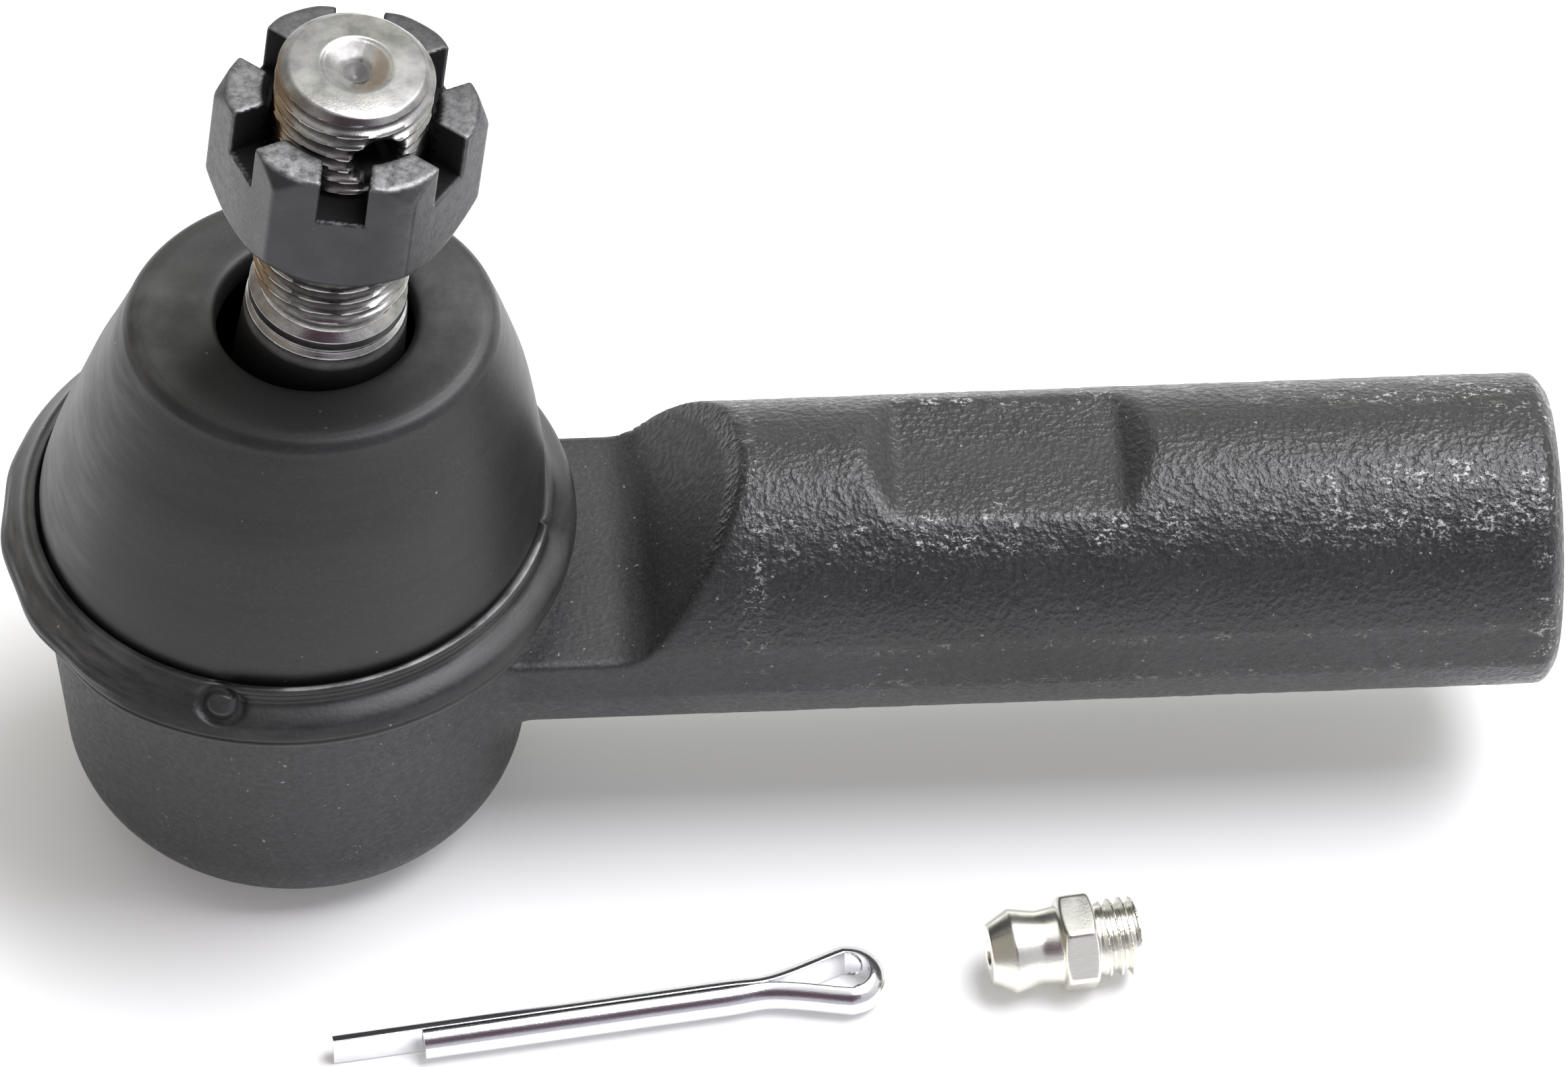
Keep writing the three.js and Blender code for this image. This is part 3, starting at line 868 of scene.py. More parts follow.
def shank_thread():
    """The M16 x 1.5 thread, as a sleeve set into the wall of the bore."""
    pitch = 1.5
    depth = 0.8
    start, end = shank_bore_start + 0.6, shank_end - 1.4
    back = shank_bore + 1.3
    inside = [(shank_bore, end), (shank_bore, start)]
    outline = refined(inside, pitch / 8) + [(back, start), (back, end)]

    def warp(r, z, angle):
        inner = r < shank_bore + 0.1
        runout = smoothstep(end - z, 0, 0.7)
        cut = (depth - thread_cut(z, angle, pitch, depth)) * runout + depth * (1 - runout)
        r = np.where(inner, r + cut, r)
        return z, r * np.cos(angle), shank_height + r * np.sin(angle)

    return turned("shank_thread", outline, 72, socket_frame, warp)


def make_housing():
    step = 0.53
    lowest = (-shoulder_radius, -shoulder_radius, 0)
    highest = (shank_end, shoulder_radius, shank_height + shank_radius)
    points, faces = field_mesh(housing_field, lowest, highest, step)
    x, y, z = points.T
    across = np.hypot(y, z - shank_height)
    forged = smoothstep(x, 27, 37)
    outside = smoothstep(across, 10.2, 11.2) * forged
    parting_band = band(z, shank_height, 3.2, 1.6) * (np.abs(y) > 11)
    pebbled = outside * (1 - 0.75 * parting_band)
    end_face = smoothstep(x, shank_end - 0.6, shank_end - 0.3)
    share = (0.15 + pebbled) * (1 - end_face)
    points = roughened(points, housing_field, 6, 0.035, 3, share)
    points = roughened(points, housing_field, 1.0, 0.04, 7, share)
    obj = make_object("housing_forging", points, faces, socket_frame)
    set_mask(obj, "pebbled", np.clip(pebbled + 0.25 * (1 - end_face), 0, 1))
    set_mask(obj, "wear_and_sheen", housing_wear(x, y, z))
    thread = shank_thread()
    for name in ("pebbled", "wear_and_sheen"):
        set_mask(thread, name, np.zeros(len(thread.data.vertices)))
    join(obj, thread)
    return finished(obj, "forging", "housing", "housing")


def housing_wear(x, y, z):
    """Where the forging is made pale: scuffs from handling on the flat's lower edges, the far end of the
    shank's shoulder, the rim of the end, the parting line and the top of the neck's slope, with a painted
    highlight on top of the shank's far end."""
    side = np.degrees(np.arctan2(z - shank_height, np.abs(y)))
    near_flat = band(side, 55, 13, 3) * smoothstep(x, 34, 40) * smoothstep(x, 76, 66)
    shoulder = band(side, 60, 20, 8) * smoothstep(x, 70, 80)
    # Painted highlight: the top of the shank's far end is made paler over its scuffs.
    shoulder = shoulder + band(side, 76, 14, 5) * smoothstep(x, 82, 92) * 0.6
    rim = band(x, shank_end - 1.4, 1.6, 0.3) * (np.hypot(y, z - shank_height) > 10)
    line = band(np.abs(z - shank_height), 2.1, 0.7, 0.1) * smoothstep(x, 30, 45) * 0.45
    slope_edge = band(x, 36, 1.5, 0.3) * (z > shank_height) * 0.6
    return np.clip(near_flat + 0.9 * shoulder + 1.1 * rim + line + slope_edge, 0, 1.3)


# ---- Stud and nut ----


def stud_outline():
    head = ball_radius - 0.2
    crest = thread_radius
    corners = [
        (0, head_bottom),
        *sphere_arc(head, head_bottom, -3.9, 10),
        (9.8, head_top, 0.5),
        (stud_neck_radius, head_top, 0.8),
        (stud_neck_radius, 11, 1.5),
        (7.2, 14.5, 1.5),
        (6.2, 32.9, 0.3),
        (5.85, 33.3, 0.15),
        (6.05, 33.8, 0.15),
        (6.05, 34.6, 0.15),
        (5.3, 35.1, 0.2),
        (5.3, 35.9, 0.2),
        (crest - 0.15, thread_start),
        (crest, thread_start + 0.2),
        (crest, thread_end),
        (5.15, stud_end - 0.14, 0.55),
        (dimple_radius + 0.2, stud_end, 0.6),
        *turning_marks((dimple_radius - 0.1, stud_end - 0.1), (1.35, stud_end - 0.65), 4),
        (1.2, stud_end - 0.72),
        *turning_marks((1.1, stud_end - 0.85), (0.3, stud_end - 1.5), 3),
        (0, stud_end - 1.6),
    ]
    return rounded(corners)


def turning_marks(start, end, count):
    """Points down a cone with small steps in it, as a drill leaves."""
    points = []
    for i in range(2 * count + 1):
        t = i / (2 * count)
        lift = 0.035 if i % 2 else -0.035
        points.append((start[0] + (end[0] - start[0]) * t, start[1] + (end[1] - start[1]) * t + lift))
    return points


def stud_warp(r, z, angle):
    """Cuts the thread into the stud's plain outline."""
    depth = 0.7
    ramp = smoothstep(z, thread_start - 0.1, thread_start + 0.7)
    threaded = (z > thread_start - 0.3) & (r > 4.9)
    cut = thread_cut(z, angle, thread_pitch, depth) * ramp
    floor = thread_radius - depth
    r = np.where(threaded, np.minimum(r, np.maximum(thread_radius - cut, np.minimum(r, floor))), r)
    return r * np.cos(angle), r * np.sin(angle), z


def make_stud():
    outline = stud_outline()
    fine = []
    for start, end in zip(outline, outline[1:]):
        span = thread_pitch / 12 if end[1] > thread_start - 0.3 and end[0] > 4.9 else 1.2
        fine += refined([start, end], span)[:-1]
    fine.append(outline[-1])
    obj = turned("stud_steel", fine, 112, stud_frame, stud_warp, 50)
    hole_wall = [(cross_hole_radius, -9), (cross_hole_radius, 4.9), (cross_hole_radius + 2, 8.2)]
    sideways = Matrix.Rotation(cross_hole_turn, 4, "Z") @ Matrix.Rotation(math.pi / 2, 4, "Y")
    hole_frame = stud_frame @ Matrix.Translation((0, 0, cross_hole_height)) @ sideways
    cut(obj, turned("drill", [(0, -9), *hole_wall, (0, 8.2)], 32, hole_frame))
    x, y, z = mesh_points(obj, stud_frame).T
    across = y * math.cos(cross_hole_turn) - x * math.sin(cross_hole_turn)
    radius = np.hypot(x, y)
    # Painted shade, made black: inside the cross hole, in the thread's roots, on the end face's middle and
    # sides, and down the neck below the ring into the boot.
    in_hole = np.hypot(across, z - cross_hole_height) < cross_hole_radius + 0.55
    in_hole &= radius < thread_radius - 0.12
    roots = smoothstep(thread_radius - radius, 0.25, 0.65) * (z > thread_start) * (z < thread_end) * 0.7
    on_end = z > stud_end - 2
    sides = band(x, -0.2, 1.8, 4.4) * band(y, 0.5, 5.4, 2.5) * on_end
    centre = band(x, 0.5, 0.35, 0.8) * smoothstep(radius, 3.1, 2.2) * on_end * 0.42
    below = smoothstep(z, 32.7, 31.5)
    set_mask(obj, "painted_dark_shade", np.max([in_hole, roots, centre, 0.42 * sides, below], axis=0))
    # Painted reflection: a straw tint on the thread's left side and on one side of the centre drill.
    degrees = np.mod(np.degrees(np.arctan2(y, x)), 360)
    on_thread = (radius > 4.9) * (z > thread_start) * (z < stud_end - 0.6)
    straw = band(degrees, 205, 42, 12) * on_thread
    drilled = band(radius, 1.9, 0.9, 0.2) * smoothstep(x, 0.4, 1.4) * on_end
    set_mask(obj, "painted_straw_reflection", np.clip(0.7 * straw + 0.5 * drilled, 0, 1))
    return finished(obj, "machined_steel", "ball_stud", "ball_stud")


def cut(obj, tool):
    """Takes the tool's solid out of the object's, and throws the tool away."""
    modifier = obj.modifiers.new("cut", "BOOLEAN")
    modifier.operation = "DIFFERENCE"
    modifier.solver = "EXACT"
    modifier.object = tool
    depsgraph = bpy.context.evaluated_depsgraph_get()
    mesh = bpy.data.meshes.new_from_object(obj.evaluated_get(depsgraph))
    obj.modifiers.clear()
    obj.data = mesh
    bpy.data.objects.remove(tool)


def nut_field(x, y, z):
    """A hexagon chamfered at both ends, less six slots and the threaded bore."""
    r = np.hypot(x, y)
    flats = hexagon(x, y, nut_across_flats, 0.35)
    slot_middles = [np.abs(turned_axes(x, y, degrees)[1]) for degrees in HEXAGON_TURNS]
    slots = np.maximum(np.min(slot_middles, axis=0) - nut_slot_width / 2, nut_slot_floor - z)
    chamfer = math.radians(53)
    top = (r - 9.4) * math.sin(chamfer) + (z - nut_top) * math.cos(chamfer)
    bottom = (r - nut_across_flats / 2) * math.sin(chamfer) + (nut_bottom - z) * math.cos(chamfer)
    body = smooth_max(flats, smooth_max(top, bottom, 0.1), 0.18)
    body = smooth_max(body, smooth_max(z - nut_top, nut_bottom - z, 0.1), 0.22)
    angle = np.arctan2(y, x)
    bore = thread_radius + 0.15 + 0.6 - thread_cut(z + thread_pitch / 2, angle, thread_pitch, 0.5)
    mouth = np.maximum(nut_bottom + 0.8 - z, z - nut_top + 0.4)
    bore = np.maximum(bore, thread_radius + 0.35 + np.clip(mouth, 0, 2))
    body = smooth_max(body, bore - r, 0.12)
    return smooth_max(body, -slots, 0.16)


def make_nut():
    corner = nut_across_flats / math.sqrt(3)
    lowest = (-corner, -corner, nut_bottom)
    points, faces = field_mesh(nut_field, lowest, (corner, corner, nut_top), 0.21)
    obj = make_object("nut_castle", points, faces, nut_frame, 50)
    x, y, z = points.T
    # Painted highlight on the tops of the teeth towards the front, over light scuffs, and painted
    # reflection on the faces turned left and right.
    tops = smoothstep(z, nut_top - 0.25, nut_top - 0.05)
    facing = np.arctan2(y, x) + nut_turn
    front = 0.5 - 0.5 * np.sin(facing)
    sides = smoothstep(np.abs(np.cos(facing)), 0.5, 0.9) * 0.3
    set_mask(obj, "wear_and_sheen", np.maximum(tops * (0.15 + 0.75 * front), sides))
    # Painted shade: the slots and the threaded bore are made black.
    distance = np.hypot(x, y)
    along, across = np.abs([turned_axes(x, y, degrees) for degrees in HEXAGON_TURNS]).swapaxes(0, 1)
    slot = np.min(across, axis=0) < nut_slot_width / 2 + 0.03
    slot &= (z > nut_slot_floor - 0.05) & (np.max(along, axis=0) < 8.75)
    bore = distance < thread_radius + 0.95
    set_mask(obj, "recess", (slot | bore) & (z < nut_top - 0.02))
    return finished(obj, "black_oxide", "castle_nut", "castle_nut")


# ---- Boot ----


def boot_outline():
    cone = [(19.4, boot_bottom), (19.55, 31.4), (19.6, 32.8), (19.1, 35.8), (18.2, 39.5), (17.2, 43.5)]
    shoulder = [(16.3, 46.2), (15.25, 49.2), (14.6, 51), (14.35, 51.7), (13.85, 52.25), (13.1, 52.5)]
    outside = curve_through(cone + shoulder, 7)
    disc = [(12, 52.47), (10.4, 52.42), (9.2, 52.4), (8.3, 52.3), (7.85, 52), (boot_hole_radius, 51.4)]
    disc = curve_through(disc, 5)
    inside = rounded(
        [
            (boot_hole_radius, 50.9),
            (boot_hole_radius, 50.3, 0.5),
            (12.4, 50, 1.5),
            (14.3, 46, 3),
            (16.2, 39.5, 3),
            (17.7, 33, 2),
            (17.9, boot_bottom),
        ]
    )
    return refined(outside + disc + inside, 0.8, closed=True)


def boot_warp(r, z, angle):
    """Leans the boot with the stud. Its rim is squeezed front to back, and its hole stays round and
    goes a little further, with the stud."""
    share = (z - boot_bottom) / (boot_top - boot_bottom)
    rim = smoothstep(r, boot_hole_radius, 13)
    x, y = r * np.cos(angle), r * np.sin(angle)
    extra = (1 - rim) * 0.35
    x = x + 0.95 * share * (1 - share) + share * (2.5 + extra)
    y = y * (1 - 0.07 * rim * share**2) + share * (-0.45 + extra)
    tilt = math.radians(1.4)
    z = z - smoothstep(share, 0.7, 1) * (x - 2.5) * math.tan(tilt) * 0.5
    dent = 0.12 * np.sin(2 * angle + 0.6) * smoothstep(share, 0.1, 0.5) * smoothstep(share, 1, 0.85)
    wave = 0.05 * np.sin(5 * angle + 4 * share) * smoothstep(share, 0.05, 0.3) * smoothstep(share, 1, 0.9)
    x = x + (dent + wave) * np.cos(angle)
    y = y + (dent + wave) * np.sin(angle)
    return x, y, z


def make_boot():
    obj = turned("boot_cone", boot_outline(), 160, socket_frame, boot_warp)
    x, y, z = mesh_points(obj, socket_frame).T
    share = (z - boot_bottom) / (boot_top - boot_bottom)
    angle = np.degrees(np.arctan2(y, x - 2.5 * share))
    # Painted sheen: more pale streaks on the boot's left side, upper right side and top, less at the top's
    # front, over a light even film.
    left = band(np.mod(angle, 360), 188, 34, 8)
    right = band(angle, 5, 22, 4) * smoothstep(share, 0.45, 0.75)
    front = band(angle, -105, 75, 35)
    top = smoothstep(share, 0.985, 0.995) * (0.3 - 0.3 * front)
    set_mask(obj, "bloom_and_sheen", np.clip(0.06 + left + 0.6 * right + top, 0, 1))
    # Painted shade, made black: inside the hole, and the front of the top, under the nut.
    radius = np.hypot(x - 2.85 * share, y + 0.1 * share)
    inside = smoothstep(radius, 8.1, 7.7) * (z > boot_top - 6)
    shade = 0.75 * front * smoothstep(share, 0.97, 0.99) * smoothstep(radius, 14.4, 11)
    set_mask(obj, "painted_shade", np.maximum(inside, shade))
    finished(obj, "boot_rubber", None, "dust_boot")
    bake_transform(obj)
    return obj


def mesh_points(obj, place):
    """The mesh's points in the millimetres of a frame of reference."""
    co = np.empty(len(obj.data.vertices) * 3)
    obj.data.vertices.foreach_get("co", co)
    inverse = np.array(place.inverted())
    return co.reshape(-1, 3) @ inverse[:3, :3].T + inverse[:3, 3]


def bead_outline():
    """The bead's section on its plain side: a lower edge, and a bevel that rises to the cone. The
    warp adds the ridge, the flash and the marks."""
    inner = collar_radius + 0.8
    crest_radius = 19.85
    edge = [(20.4, -0.05), (21.2, 0.3), (21.9, 0.9), (22.35, 1.45), (22.42, 1.75), (22.36, 1.9)]
    bevel = [(22.5, 2.1), (22.48, 2.5), (22.2, 2.95), (21.75, 3.4), (21.3, 3.85), (20.9, 4.3)]
    outside = [
        *((r, bead_bottom + rise) for r, rise in edge + bevel),
        (20.6, bead_crest - 0.35),
        (20.25, bead_crest - 0.05),
        (crest_radius + 0.04, bead_crest - 0.15),
    ]
    inside = [
        (crest_radius, bead_crest - 0.5),
        (crest_radius, bead_top),
        (inner, bead_top - 0.2),
        (inner, bead_top - ring_cover),
        (ring_groove_radius, bead_top - ring_cover),
        (ring_groove_radius, bead_bottom + ring_cover),
        (inner, bead_bottom + ring_cover),
        (inner, bead_bottom + 0.05),
        (19.6, bead_bottom),
    ]
    return refined(curve_through(outside, 5) + inside, 0.5, closed=True)


def bead_warp(r, z, angle):
    degrees = np.mod(np.degrees(angle) + 180, 360) - 180
    skin = r > 20
    # A raised ridge along the crest from the nub to the notch, with a shallow groove under it.
    ridged = smoothstep(degrees, -106, -101) * smoothstep(degrees, -10.5, -13.5)
    crest = hump(z, bead_crest, 0.55) * skin
    z = z + 0.42 * ridged * crest
    r = r + 0.28 * ridged * crest * (z > bead_crest - 0.2)
    groove = hump(z, 30.55, 0.4) * skin
    bulge = hump(z, 29.6, 0.5) * skin
    r = r + ridged * (0.2 * bulge - 0.3 * groove)
    r = r - (0.21 - 0.05 * ridged) * smoothstep(r, 20.4, 19.9) * smoothstep(z, 30, 30.8)
    # The notch where the ridge ends.
    notch = hump(degrees, -11.6, 1.1) * smoothstep(z, 29.2, 30.4) * skin
    r = r - 0.35 * notch
    # Flash round the lower edge, widest in front.
    lump = np.sin(3.1 * angle + 1) * 0.3 + np.sin(7.3 * np.sin(angle) + 2) * 0.4 + np.sin(23 * angle) * 0.15
    front = smoothstep(degrees, -142, -124) * smoothstep(degrees, -28, -44)
    edge = hump(z, bead_bottom + 1.6, 0.75) * skin
    r = r + edge * front * (0.5 + 0.06 * lump)
    flash = smoothstep(z, bead_bottom + 1.2, bead_bottom + 0.1) * skin
    r = r + flash * (0.2 + 0.25 * lump)
    # The wavy outline on the left.
    wavy = smoothstep(degrees, -120, -150) + smoothstep(degrees, 150, 170)
    r = r - smoothstep(r, 21.8, 22.3) * wavy * 0.12 * (1 + np.sin(17 * angle))
    # The round nub, inside a dished ring.
    across = (degrees + 105.2) * math.radians(21.2)
    along = (z - 30.5) * math.sqrt(2)
    distance = np.hypot(across / 1.1, along / 0.95)
    nub = smoothstep(distance, 1.25, 0.75)
    ring = hump(distance, 1.45, 0.32)
    push = (0.5 * nub - 0.45 * ring) * skin * math.sqrt(0.5)
    return (r + push) * np.cos(angle), (r + push) * np.sin(angle), z + push


def make_bead():
    obj = turned("boot_base_bead", bead_outline(), 420, socket_frame, bead_warp)
    x, y, z = mesh_points(obj, socket_frame).T
    degrees = np.degrees(np.arctan2(y, x))
    # A light film all round, painted sheen on the top's left part, the upper right and the lower left side,
    # and a painted highlight along the ridge's crest, where the mask goes over 1.
    left = band(np.mod(degrees, 360), 200, 50, 20)
    ridged = smoothstep(degrees, -98, -88) * smoothstep(degrees, -13, -22)
    rim = ridged * smoothstep(z, bead_crest + 0.24, bead_crest + 0.34) * 1.6
    right = band(degrees, -38, 20, 8) * (z > bead_bottom + 3.8) * 0.5
    low = smoothstep(degrees, -118, -130) * (z < bead_bottom + 2.6) * 0.9
    set_mask(obj, "bloom_and_sheen", np.clip(0.25 + 0.6 * left * (z > bead_top) + rim + right + low, 0, 1.5))
    # Painted shade: the bead's inner face by the cone's foot is made black.
    set_mask(obj, "painted_shade", smoothstep(np.hypot(x, y), 19.6, 19.5) * (z < bead_top + 0.5))
    return finished(obj, "boot_rubber", "housing", "boot_bead")


# ---- Cotter pin ----


def pin_path():
    """Along the long leg, round the eye, and back along the short leg."""
    gap = 0.1
    rise = math.degrees(math.asin((pin_eye_radius - gap) / (pin_eye_centre - pin_neck)))
    long_leg = [(x, gap, 0) for x in (0, 8, 16, 24, 31)]
    short_leg = [(x, -gap, 0) for x in (31, 24, 16, pin_short_leg_start)]
    bend = arc(pin_eye_centre, 0, pin_eye_radius, 90 + rise, -90 - rise, 10)
    eye = [(x, y, 0) for x, y in bend]
    neck = pin_neck - 0.6
    return curve_through(long_leg + [(neck, gap, 0)] + eye + [(neck, -gap, 0)] + short_leg, 6)


def make_pin():
    edge = 0.16
    corner = pin_radius - 0.02
    half_round = [(0, -corner, edge), *arc(0, 0, pin_radius, -86, 86, 22), (0, corner, edge)]
    section = rounded(half_round, closed=True, steps=3)

    def sideways(spot, tangent):
        return np.cross((0, 0, 1), tangent)

    obj = swept("pin_cotter", pin_path(), section, sideways, pin_frame())
    return finished(obj, "zinc_plate", "cotter_pin", "cotter_pin")


# ---- Grease fitting ----


def fitting_outline():
    return rounded(
        [
            (0, 0),
            (fitting_tip_radius, 0, 0.15),
            (3.35, 1.8, 0.25),
            (3.25, 2.4, 0.5),
            (2.9, 4, 2),
            (3.1, 5.6, 0.3),
            (2.8, 6.1),
            (2.8, 8.8, 0.2),
            (fitting_thread_radius, 9.2, 0.1),
            (fitting_thread_radius, fitting_length - 0.35, 0.1),
            (fitting_thread_radius - 0.4, fitting_length, 0.1),
            (0, fitting_length),
        ],
        closed=True,
    )


FITTING = fitting_outline()
FITTING_BORE = [(0, -2), (1.25, -2), (1.25, 0), (0.85, 0.45), (0.85, 1), (1.6, 1.9), (1.6, 14), (0, 14)]


def fitting_field(x, y, z):
    """The turned fitting, its thread and its hexagon, less the bore."""
    r = np.hypot(x, y)
    angle = np.arctan2(y, x)
    threaded = smoothstep(z, 8.95, 9.3)
    cut_depth = thread_cut(z, angle, fitting_thread_pitch, 0.5) * threaded
    body = outline_distance(r + cut_depth, z, FITTING)
    flats = hexagon(x, y, fitting_across_flats, 0.3)
    middle = (fitting_hex_start + fitting_hex_end) / 2
    half = (fitting_hex_end - fitting_hex_start) / 2
    ends = np.abs(z - middle) - half
    shoulders = (r - 3.55) * 0.5 + ends * 0.87
    grip = smooth_max(smooth_max(flats, ends, 0.3), shoulders, 0.2)
    body = smooth_min(body, grip, 0.25)
    return smooth_max(body, -outline_distance(r, z, FITTING_BORE), 0.12)


def make_fitting():
    corner = fitting_across_flats / math.sqrt(3)
    lowest = (-corner, -corner, 0)
    points, faces = field_mesh(fitting_field, lowest, (corner, corner, fitting_length), 0.125)
    obj = make_object("fitting_body", points, faces, fitting_frame(), 60)
    return finished(obj, "yellow_zinc", "grease_fitting", "grease_fitting")


# ---- Inside the socket and the bead ----


def make_cover_plate():
    """The plate, with its boss and the thread for the grease fitting."""
    top = plate_bottom + plate_thickness
    boss_top = top + 1.4
    hole = [(grease_hole_radius, boss_top), (grease_hole_radius, plate_bottom)]
    outside = rounded(
        [
            (grease_hole_radius + 0.5, plate_bottom),
            (plate_radius, plate_bottom, 0.5),
            (plate_radius, top, 0.5),
            (5.4, top, 0.8),
            (5, boss_top, 0.4),
            (grease_hole_radius + 0.5, boss_top),
        ]
    )

    def warp(r, z, angle):
        depth = fitting_thread_radius - grease_hole_radius
        cut = depth - thread_cut(z, angle, fitting_thread_pitch, depth)
        r = np.where(r < grease_hole_radius + 0.01, r + cut, r)
        return r * np.cos(angle), r * np.sin(angle), z

    outline = refined(outside, 0.8) + refined(hole, fitting_thread_pitch / 10)
    obj = turned("plate_cover", outline, 120, socket_frame, warp, 45)
    return finished(obj, "pressed_steel", "housing", "cover_plate")


def make_pressure_seat():
    dish = ball_radius + 0.2
    hole = 1.5
    outer = socket_bore - clearance
    foot = [(hole + 0.01, seat_bottom), (outer - 0.7, seat_bottom, 0.3), (outer, seat_bottom + 1, 0.5)]
    outline = [
        *rounded(foot),
        *rounded([(outer, seat_bottom + 1), (outer, seat_rim, 0.4), (10, seat_rim - 0.05)]),
        *sphere_arc(dish, seat_rim - 0.5 - ball_height, -math.sqrt(dish**2 - hole**2), 20, ball_height),
    ]
    obj = turned("seat_pressure", refined(outline, 0.8, closed=True), 110, socket_frame, None, 45)
    return finished(obj, "sintered_steel", "pressure_seat", "pressure_seat")


def make_bearing_liner():
    inner = ball_radius + clearance
    outer = socket_bore - clearance
    outline = [
        *rounded([(inner, liner_bottom), (outer, liner_bottom, 0.6), (outer, 24.8, 1), (10.6, liner_top)]),
        *sphere_arc(inner, liner_top - ball_height, liner_bottom - ball_height, 24, ball_height),
    ]
    obj = turned("liner_bearing", refined(outline, 0.8, closed=True), 120, socket_frame, None, 45)
    return finished(obj, "bearing_plastic", "bearing_liner", "bearing_liner")


def make_half_ball():
    bore = stud_neck_radius + clearance + 0.05
    bottom = head_top + clearance + 0.05
    outline = [
        *rounded([(bore, half_ball_top), (bore, bottom, 0.5), (bore + 1, bottom)]),
        *sphere_arc(ball_radius, bottom, half_ball_top, 24),
    ]
    obj = turned("ball_half", refined(outline, 0.8, closed=True), 110, stud_frame, None, 45)
    return finished(obj, "sintered_steel", "half_ball", "half_ball")


def make_insert_ring():
    inner = collar_radius + clearance
    outer = ring_groove_radius - clearance
    bottom = bead_bottom + ring_cover + clearance
    top = bead_top - ring_cover - clearance
    corners = [(inner, bottom, 0.3), (outer, bottom, 0.3), (outer, top, 0.3), (inner, top, 0.3)]
    obj = turned("ring_insert", rounded(corners, closed=True), 120, socket_frame, None, 45)
    return finished(obj, "pressed_steel", "housing", "boot_insert_ring")


def make_check_ball():
    radius = fitting_ball_radius
    outline = sphere_arc(radius, -radius, radius, 28, fitting_ball_seat)
    outline = [(0, outline[0][1]), *outline[1:-1], (0, outline[-1][1])]
    obj = turned("ball_check", outline, 56, fitting_frame())
    return finished(obj, "bearing_ball", "fitting_ball", "fitting_ball")


def make_spring(name, foot, head, turns, wire, place, body, node):
    """Round wire coiled between two (radius, height) ends, with its flat ends left as cut."""
    coil = []
    steps = round(turns * 40)
    for i in range(steps + 1):
        t = i / steps
        angle = 2 * math.pi * turns * t
        radius = foot[0] + (head[0] - foot[0]) * t
        height = foot[1] + (head[1] - foot[1]) * t
        coil.append((radius * math.cos(angle), radius * math.sin(angle), height))
    sides = 14
    corners = [2 * math.pi * k / sides for k in range(sides)]
    section = [(wire * math.cos(corner), wire * math.sin(corner)) for corner in corners]

    def outwards(spot, tangent):
        radial = np.array([spot[0], spot[1], 0])
        radial -= tangent * radial.dot(tangent)
        return radial / np.linalg.norm(radial)

    return finished(swept(name, coil, section, outwards, place), "spring_steel", body, node)


def make_preload_spring():
    foot = plate_bottom + plate_thickness + clearance
    head = seat_bottom - clearance
    wire = 0.7
    turns = 1.6
    wide, narrow = 9.6, 7
    ends = (wide, foot + wire), (narrow, head - wire)
    obj = make_spring("spring_preload", *ends, turns, wire, socket_frame, "housing", "preload_spring")
    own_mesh(obj)


def make_fitting_spring():
    wire = 0.2
    foot = fitting_ball_seat + fitting_ball_radius + clearance
    head = fitting_length - 0.8 + wire
    place = fitting_frame()
    radius = 0.95
    turns = 4.5
    ends = (radius, foot + wire), (radius, head - wire)
    obj = make_spring("spring_fitting", *ends, turns, wire, place, "grease_fitting", "fitting_spring")
    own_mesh(obj)


# ---- Floor and light ----


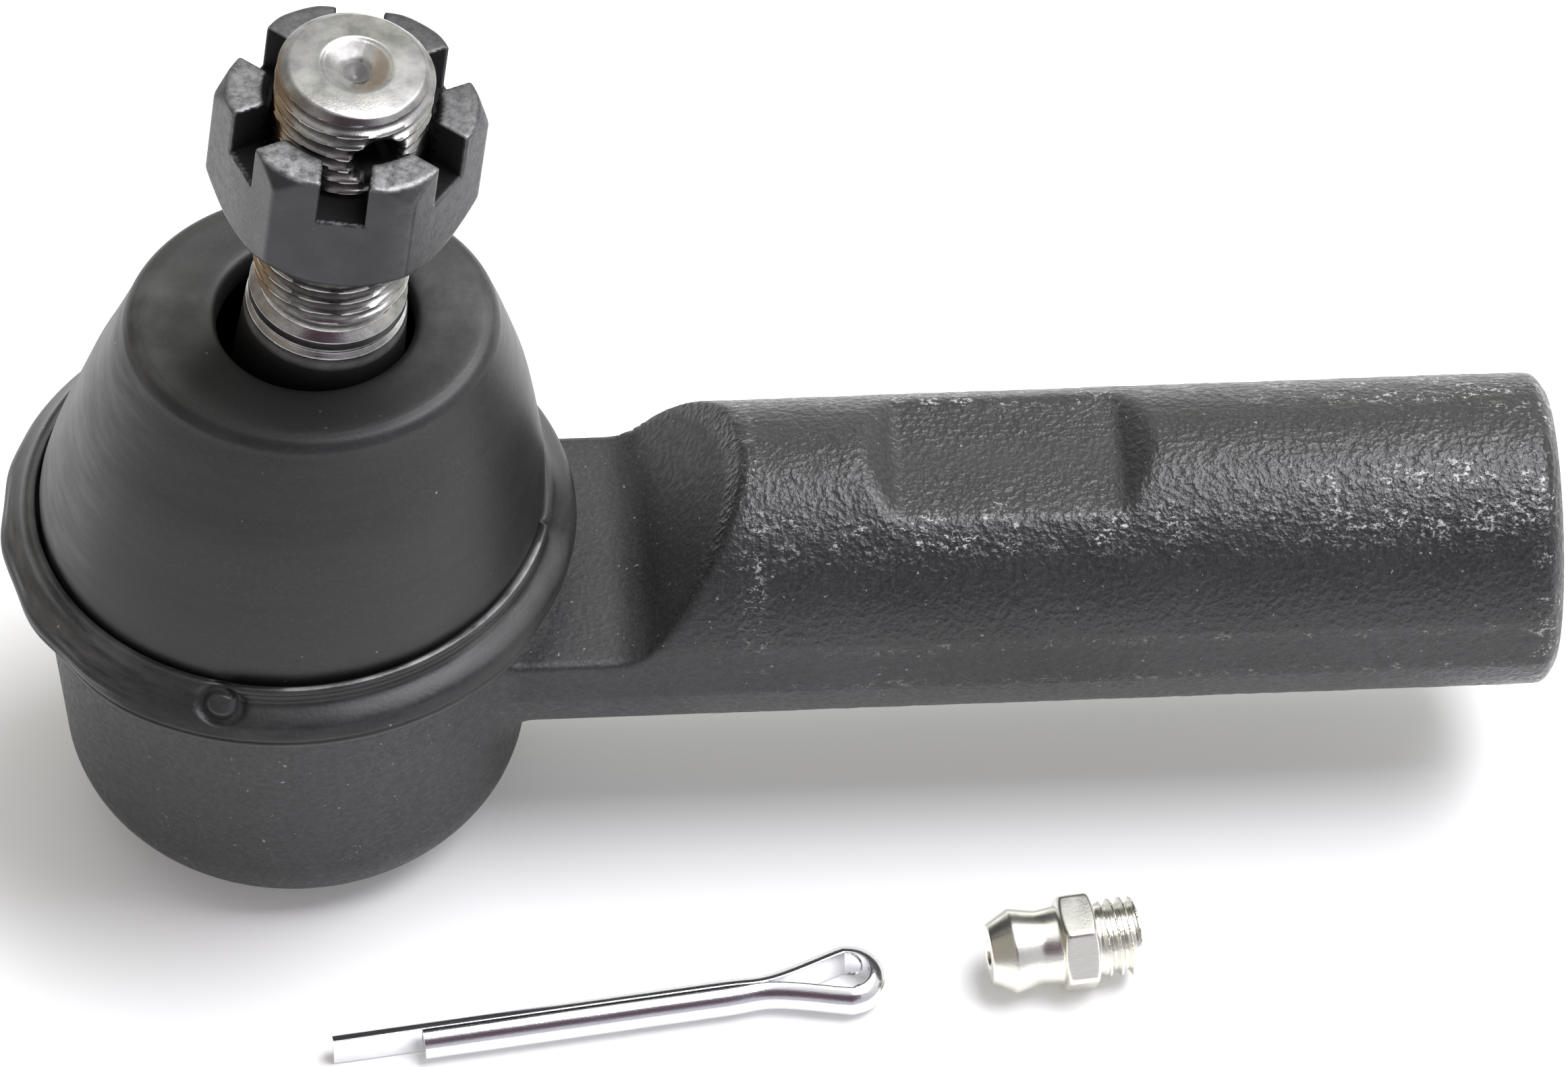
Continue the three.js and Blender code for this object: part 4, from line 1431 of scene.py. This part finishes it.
def add_floor():
    mesh = bpy.data.meshes.new("floor")
    reach = 3.0
    corners = [(-reach, -reach, 0), (reach, -reach, 0), (reach, reach, 0), (-reach, reach, 0)]
    mesh.from_pydata(corners, [], [(0, 1, 2, 3)])
    floor = bpy.data.objects.new("floor", mesh)
    floor.location.z = -0.0001
    bpy.context.scene.collection.objects.link(floor)
    material, tree, shader, place = new_material("floor_paper")
    looks = {
        "Base Color": mixed(tree, grain(tree, place, 60, 2), grey(0.88), grey(0.9)),
        "Roughness": 0.9,
        "Specular IOR Level": 0.1,
        "Emission Color": (1, 1, 1, 1),
        "Emission Strength": 0.14,
    }
    connect(tree, shader, looks)
    mesh.materials.append(material)


def add_world():
    """A soft dome: bright behind, duller in front, dim to the left, and dark plum high in front."""
    world = bpy.data.worlds.new("studio")
    world.use_nodes = True
    tree = world.node_tree
    direction = add(tree, "ShaderNodeTexCoord").outputs["Generated"]
    axes = add(tree, "ShaderNodeSeparateXYZ", {"Vector": direction})
    to_right, to_back, upwards = axes.outputs["X"], axes.outputs["Y"], axes.outputs["Z"]
    front = (0.59, 0.58, 0.64, 1)
    back = (0.95, 0.97, 0.89, 1)
    sky = mixed(tree, between(tree, to_back, -0.6, 0.5), front, back)
    sky = mixed(tree, between(tree, to_right, -0.2, -0.75), sky, (0.32, 0.29, 0.25, 1))
    high_front = maths(tree, "SUBTRACT", product(tree, upwards, 0.72), product(tree, to_back, 0.69))
    sky = mixed(tree, between(tree, high_front, 0.86, 0.96), sky, (0.11, 0.07, 0.09, 1))
    connect(tree, tree.nodes["Background"], {"Color": sky, "Strength": 1.0})
    bpy.context.scene.world = world


def add_softbox():
    spot = Vector((0.34, 0.08, 0.86))
    target = Vector((0, 0, 0.02))
    data = bpy.data.lights.new("softbox", "AREA")
    data.shape = "RECTANGLE"
    data.size = 0.78
    data.size_y = 0.54
    data.energy = 12
    data.color = (0.96, 0.95, 1)
    light = bpy.data.objects.new("softbox", data)
    light.location = spot
    light.rotation_euler = (target - spot).to_track_quat("-Z", "Y").to_euler()
    bpy.context.scene.collection.objects.link(light)


make_housing()
make_stud()
make_nut()
make_boot()
make_bead()
make_pin()
make_fitting()
make_cover_plate()
make_pressure_seat()
make_bearing_liner()
make_half_ball()
make_insert_ring()
make_check_ball()
make_preload_spring()
make_fitting_spring()
add_floor()
add_world()
add_softbox()
bpy.context.scene.view_settings.view_transform = "Standard"
